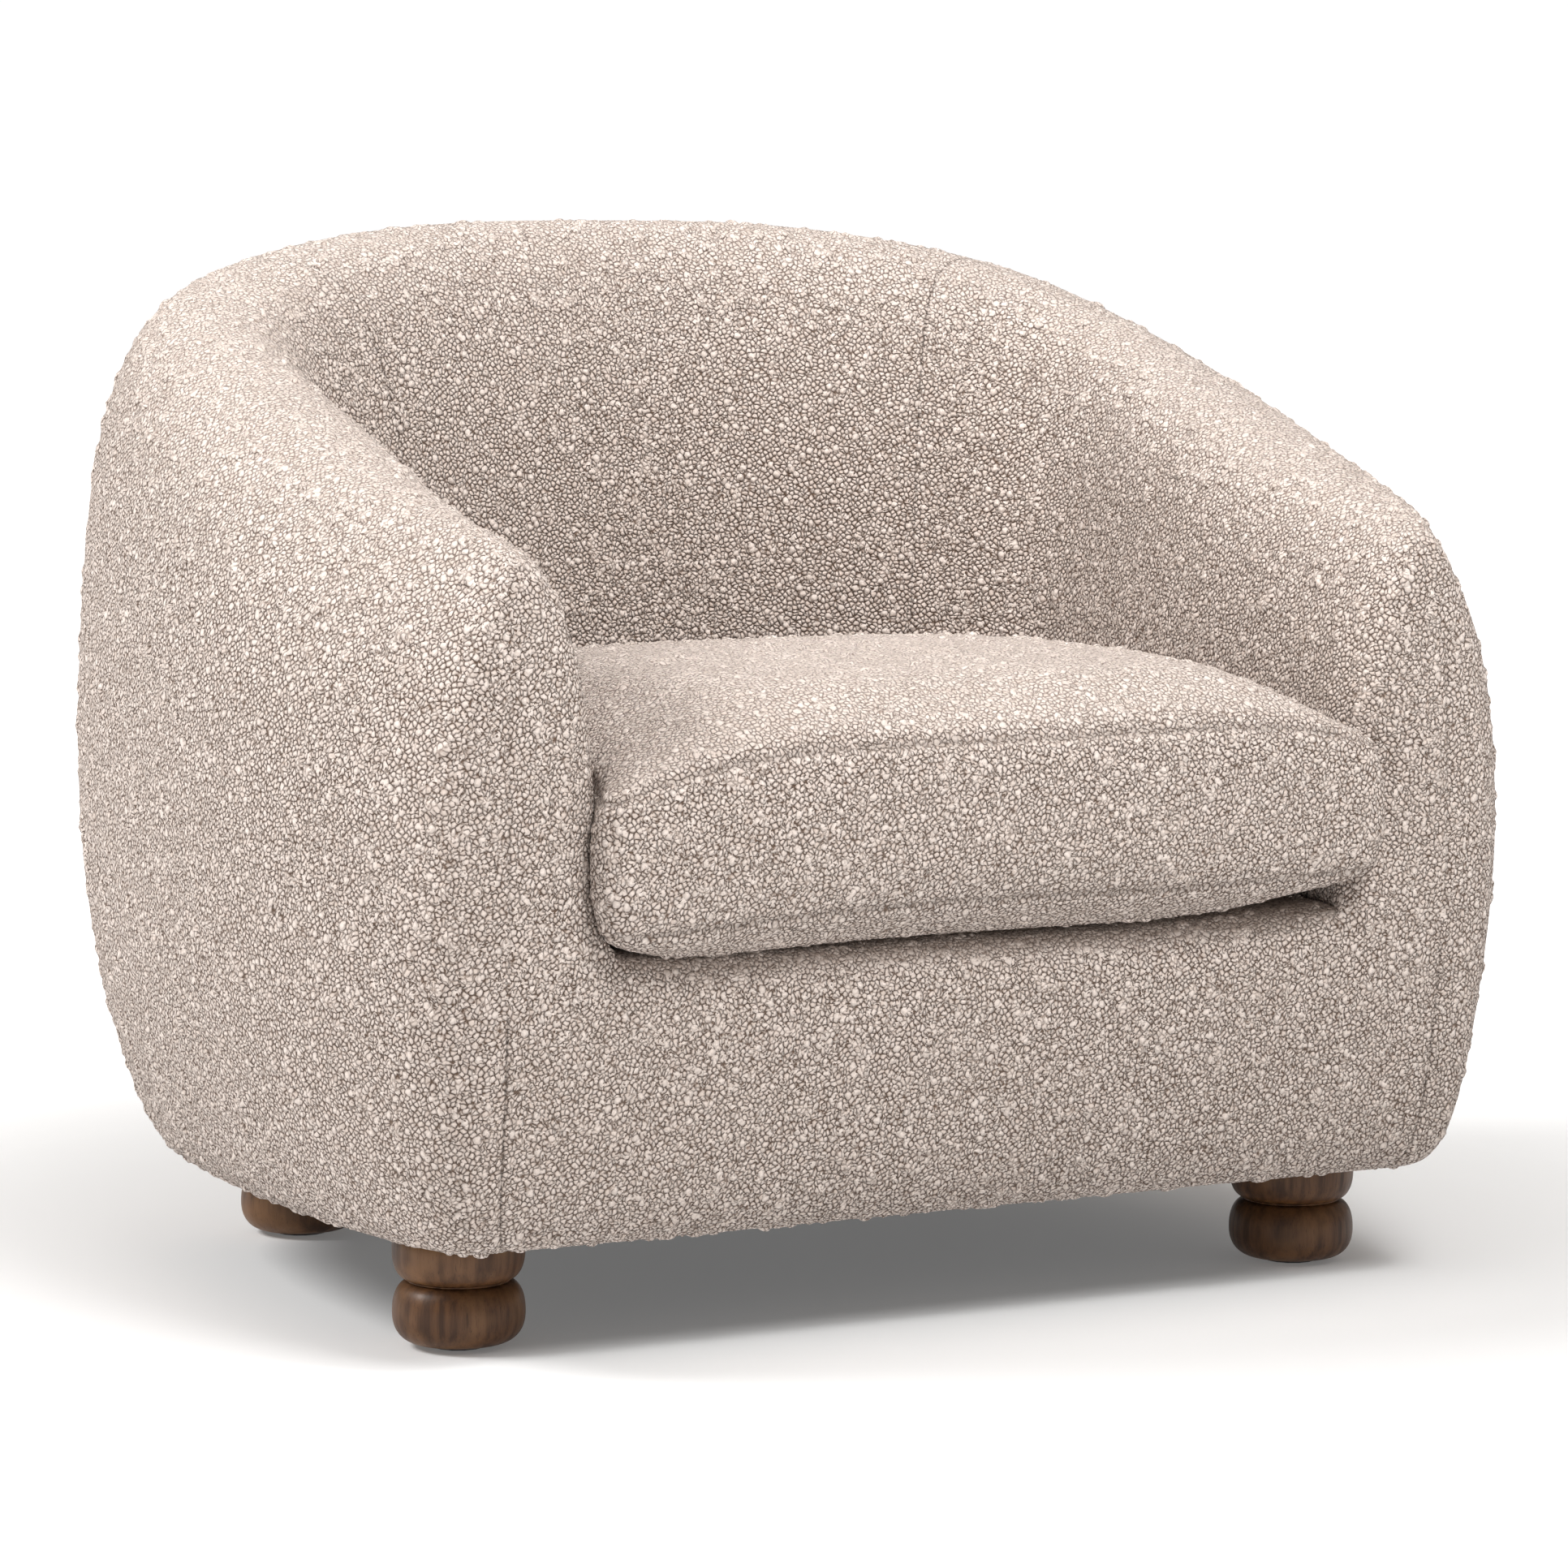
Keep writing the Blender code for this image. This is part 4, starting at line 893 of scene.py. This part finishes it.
def bun_profile(low, high, radius, neck_low, neck_high):
    """Outline of one bun: rounded from neck to neck."""
    middle, half = (low + high) / 2, (high - low) / 2
    points = []
    for k in range(BUN_STEPS + 1):
        t = -math.cos(math.pi * k / BUN_STEPS)
        neck = neck_low if t < 0 else neck_high
        points.append((neck + (radius - neck) * math.sqrt(max(0.0, 1 - abs(t) ** 2.3)), middle + half * t))
    return points


def turned(name, profile, centre):
    """A foot: a profile of (radius, height) from axis to axis, turned about an upright axis."""
    verts, rings, faces = [], [], []
    for r, z in profile:
        if r == 0:
            rings.append([len(verts)] * SEGMENTS)
            verts.append((centre[0], centre[1], z))
        else:
            rings.append(list(range(len(verts), len(verts) + SEGMENTS)))
            verts += [(centre[0] + r * math.cos(t), centre[1] + r * math.sin(t), z)
                      for t in np.linspace(0, 2 * math.pi, SEGMENTS, endpoint=False)]
    for a, b in zip(rings, rings[1:]):
        for k in range(SEGMENTS):
            j = (k + 1) % SEGMENTS
            faces.append(tuple(dict.fromkeys((a[k], a[j], b[j], b[k]))))
    return plain_piece(name, verts, faces, WALNUT, "chair", "foot_wood", 45.0)


upper = [p for p in bun_profile(UPPER_LOW, 0.0955, FOOT_R, 0.0378, 0.030) if p[1] < FOOT_TOP - 0.0004]
neck = [(0.0384, LOWER_TOP + 0.0004), (0.0386, (LOWER_TOP + UPPER_LOW) / 2), (0.0384, UPPER_LOW - 0.0004)]
bore = [(0.0385, FOOT_TOP), (BOLT_BORE, FOOT_TOP), (BOLT_BORE, BOLT_END), (0, BOLT_END)]
lower = bun_profile(FOOT_LOW, LOWER_TOP, FOOT_R, 0.031, 0.0378)
foot_profile = [(0, FOOT_LOW)] + lower + neck + upper + bore
for name in ("foot_front_left", "foot_front_right", "foot_rear_left", "foot_rear_right"):
    low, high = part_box(name)
    centre = ((low.x + high.x) / 2, (low.y + high.y) / 2)
    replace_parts(turned("turned_" + name, foot_profile, centre), name)

# ---- seat deck and dust cover ---------------------------------------------------------------
def rings_over(loop, levels, both_ends=False):
    """A plan loop drawn in, (share of the way out, height) each time, and closed at the last or both ends."""
    loop = np.asarray(loop)
    count, last = len(loop), len(levels) - 1
    centre = (loop.min(axis=0) + loop.max(axis=0)) / 2
    verts = np.vstack([np.column_stack([centre + (loop - centre) * share, np.full(count, z)])
                       for share, z in levels])
    near, following = np.arange(count), (np.arange(count) + 1) % count
    faces = []
    for start in range(0, last * count, count):
        a, b = start + near, start + following
        faces += np.column_stack([a, b, b + count, a + count]).tolist()
    for ring in (0, last) if both_ends else (last,):
        a, b = ring * count + near, ring * count + following
        faces += np.column_stack([a, b, np.full(count, len(verts))]).tolist()
        verts = np.vstack([verts, verts[a].mean(axis=0)])
    return verts, faces


def spaced(corners, spacing):
    """Points along a closed outline, about evenly spaced, every corner among them."""
    points = []
    for a, b in zip(corners, corners[1:] + corners[:1]):
        steps = max(2, round(math.dist(a, b) / spacing))
        points += [(a[0] + (b[0] - a[0]) * k / steps, a[1] + (b[1] - a[1]) * k / steps)
                   for k in range(steps)]
    return points


chain = {}
for a, b in rim_of(WALL_Q):
    run = np.abs(WALL_V[b] - WALL_V[a])
    # the joins of the arms to the strip of the front panel under the cushion are no part of the opening
    joined = WALL_V[[a, b], 1].min() < STATIONS[2][1][1] - 0.001 and run[1] > run[0]
    if WALL_V[a, 2] > 0.25 and not joined:
        chain[int(a)] = int(b)
walk = [next(iter(chain))]
while len(walk) < len(chain) and chain.get(walk[-1], walk[0]) != walk[0]:
    walk.append(chain[walk[-1]])
well = WALL_V[walk][::3, :2]
DECK_Z = 0.2990
levels = [(1.0, DECK_Z + 0.0012), (0.985, DECK_Z)]
levels += [(s, DECK_Z - 0.0022 * (1 - s * s)) for s in (0.96, 0.9, 0.8, 0.68, 0.55, 0.42, 0.3, 0.18, 0.08)]
deck = plain_piece("deck_lining", *rings_over(well, levels), DECKING, "chair", "lining_cloth")
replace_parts(deck, "deck_cloth")

low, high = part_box("deck_foam")
outline = [(0.296, -0.196), (0.296, 0.060), (0.262, 0.112), (0.180, 0.128)]
outline += [(-x, y) for x, y in reversed(outline)]
dense = spaced(outline, 0.012)
top, bottom = DECK_Z - 0.0030, low.z
levels = [(0.06, top), (0.3, top), (0.6, top), (0.85, top), (0.965, top - 0.0006), (0.990, top - 0.003),
          (1.0, top - 0.008), (1.0, (top + bottom) / 2), (1.0, bottom + 0.007), (0.990, bottom + 0.002),
          (0.970, bottom), (0.6, bottom), (0.3, bottom), (0.06, bottom)]
pad = plain_piece("deck_pad", *rings_over(dense, levels, True), FOAM_LOOK, "chair", "foam", 60.0)
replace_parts(pad, "deck_foam")

EDGE_IN = 0.034
hem = []
for (ox, oy), _, angle, _, share, _ in STATIONS:
    move = TUCK * share + EDGE_IN
    y = max(oy - move * math.sin(math.radians(angle)), FRONT_Y + FRONT_TUCK + EDGE_IN)
    hem.append((ox - move * math.cos(math.radians(angle)), y))
dense = spaced(hem + [(-x, y) for x, y in reversed(hem[:-1])], 0.010)
DUST_Z = 0.0873
levels = [(1.0, DUST_Z), (0.99, DUST_Z)]
levels += [(s, DUST_Z - 0.0006 - 0.0016 * max(0.0, 1 - s / 0.62))
           for s in (0.97, 0.93, 0.86, 0.76, 0.62, 0.48, 0.34, 0.2, 0.08)]
dust = plain_piece("dust_lining", *rings_over(dense, levels), LINING, "chair", "lining_cloth")
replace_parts(dust, "dust_cover")
parts = []
for k in range(0, len(dense), 5):
    (x, y), (next_x, next_y) = dense[k], dense[(k + 1) % len(dense)]
    wide, deep = (0.005, 0.0005) if abs(next_x - x) > abs(next_y - y) else (0.0005, 0.005)
    x, y = x * 0.985, y * 0.985
    parts.append(((x - wide, y - deep, DUST_Z - 0.0012), (x + wide, y + deep, DUST_Z - 0.0002)))
plain_piece("dust_staples", *blocks(parts, 0.0002), STEEL, "chair", "steel")

# ---- stage and light ------------------------------------------------------------------------
world = bpy.data.worlds.new("studio")
world.use_nodes = True
scene.world = world
tree = world.node_tree
tree.nodes.clear()
seen = node(tree, "LightPath").outputs["Is Camera Ray"]
level = calc(tree, "MULTIPLY_ADD", seen, 0.71, 0.31)
hue = mix(tree, seen, colour(1.0, 0.94, 0.88), colour(1.0, 1.0, 1.0))
backdrop = node(tree, "Background", None, Color=hue, Strength=level)
tree.links.new(backdrop.outputs[0], node(tree, "OutputWorld").inputs[0])

floor_mesh = bpy.data.meshes.new("floor")
floor_mesh.from_pydata([(-30, -30, 0), (30, -30, 0), (30, 30, 0), (-30, 30, 0)], [], [(0, 1, 2, 3)])
floor = placed("floor", floor_mesh)
mat, tree, shader = blank("pale_glowing_floor", 0.9)
shader.inputs["Base Color"].default_value = colour(0.80, 0.80, 0.80)
shader.inputs["Specular IOR Level"].default_value = 0.1
shader.inputs["Emission Color"].default_value = colour(1, 1, 1)
# painted light: the floor glows, faintly within 0.6 m of the chair and rising to full white by 1.9 m, which
# washes its shadows out further away
ground = node(tree, "TexCoord").outputs["Object"]
away = node(tree, "VectorMath", {"operation": "LENGTH"}, i0=ground).outputs["Value"]
tree.links.new(remap(tree, away, 0.6, 1.9, 0.12, 1.0), shader.inputs["Emission Strength"])
floor_mesh.materials.append(mat)


def area_light(name, place, target, size, power, spread=180.0):
    data = bpy.data.lights.new(name, "AREA")
    data.shape = "DISK"
    data.size, data.energy, data.spread = size, power, math.radians(spread)
    lamp = placed(name, data)
    lamp.location = place
    lamp.rotation_euler = (Vector(target) - Vector(place)).to_track_quat("-Z", "Y").to_euler()


area_light("key", (-3.3, 0.9, 2.9), (0, 0, 0.45), 1.6, 132)
area_light("top", (-0.3, -1.0, 3.9), (0, 0, 0.5), 2.4, 32)
area_light("front", (0.2, -2.8, 3.7), (0, 0.1, 0.6), 1.8, 92)
area_light("inside", (0.4, -1.7, 2.7), (-0.05, 0.14, 0.64), 0.8, 2.8, 50.0)
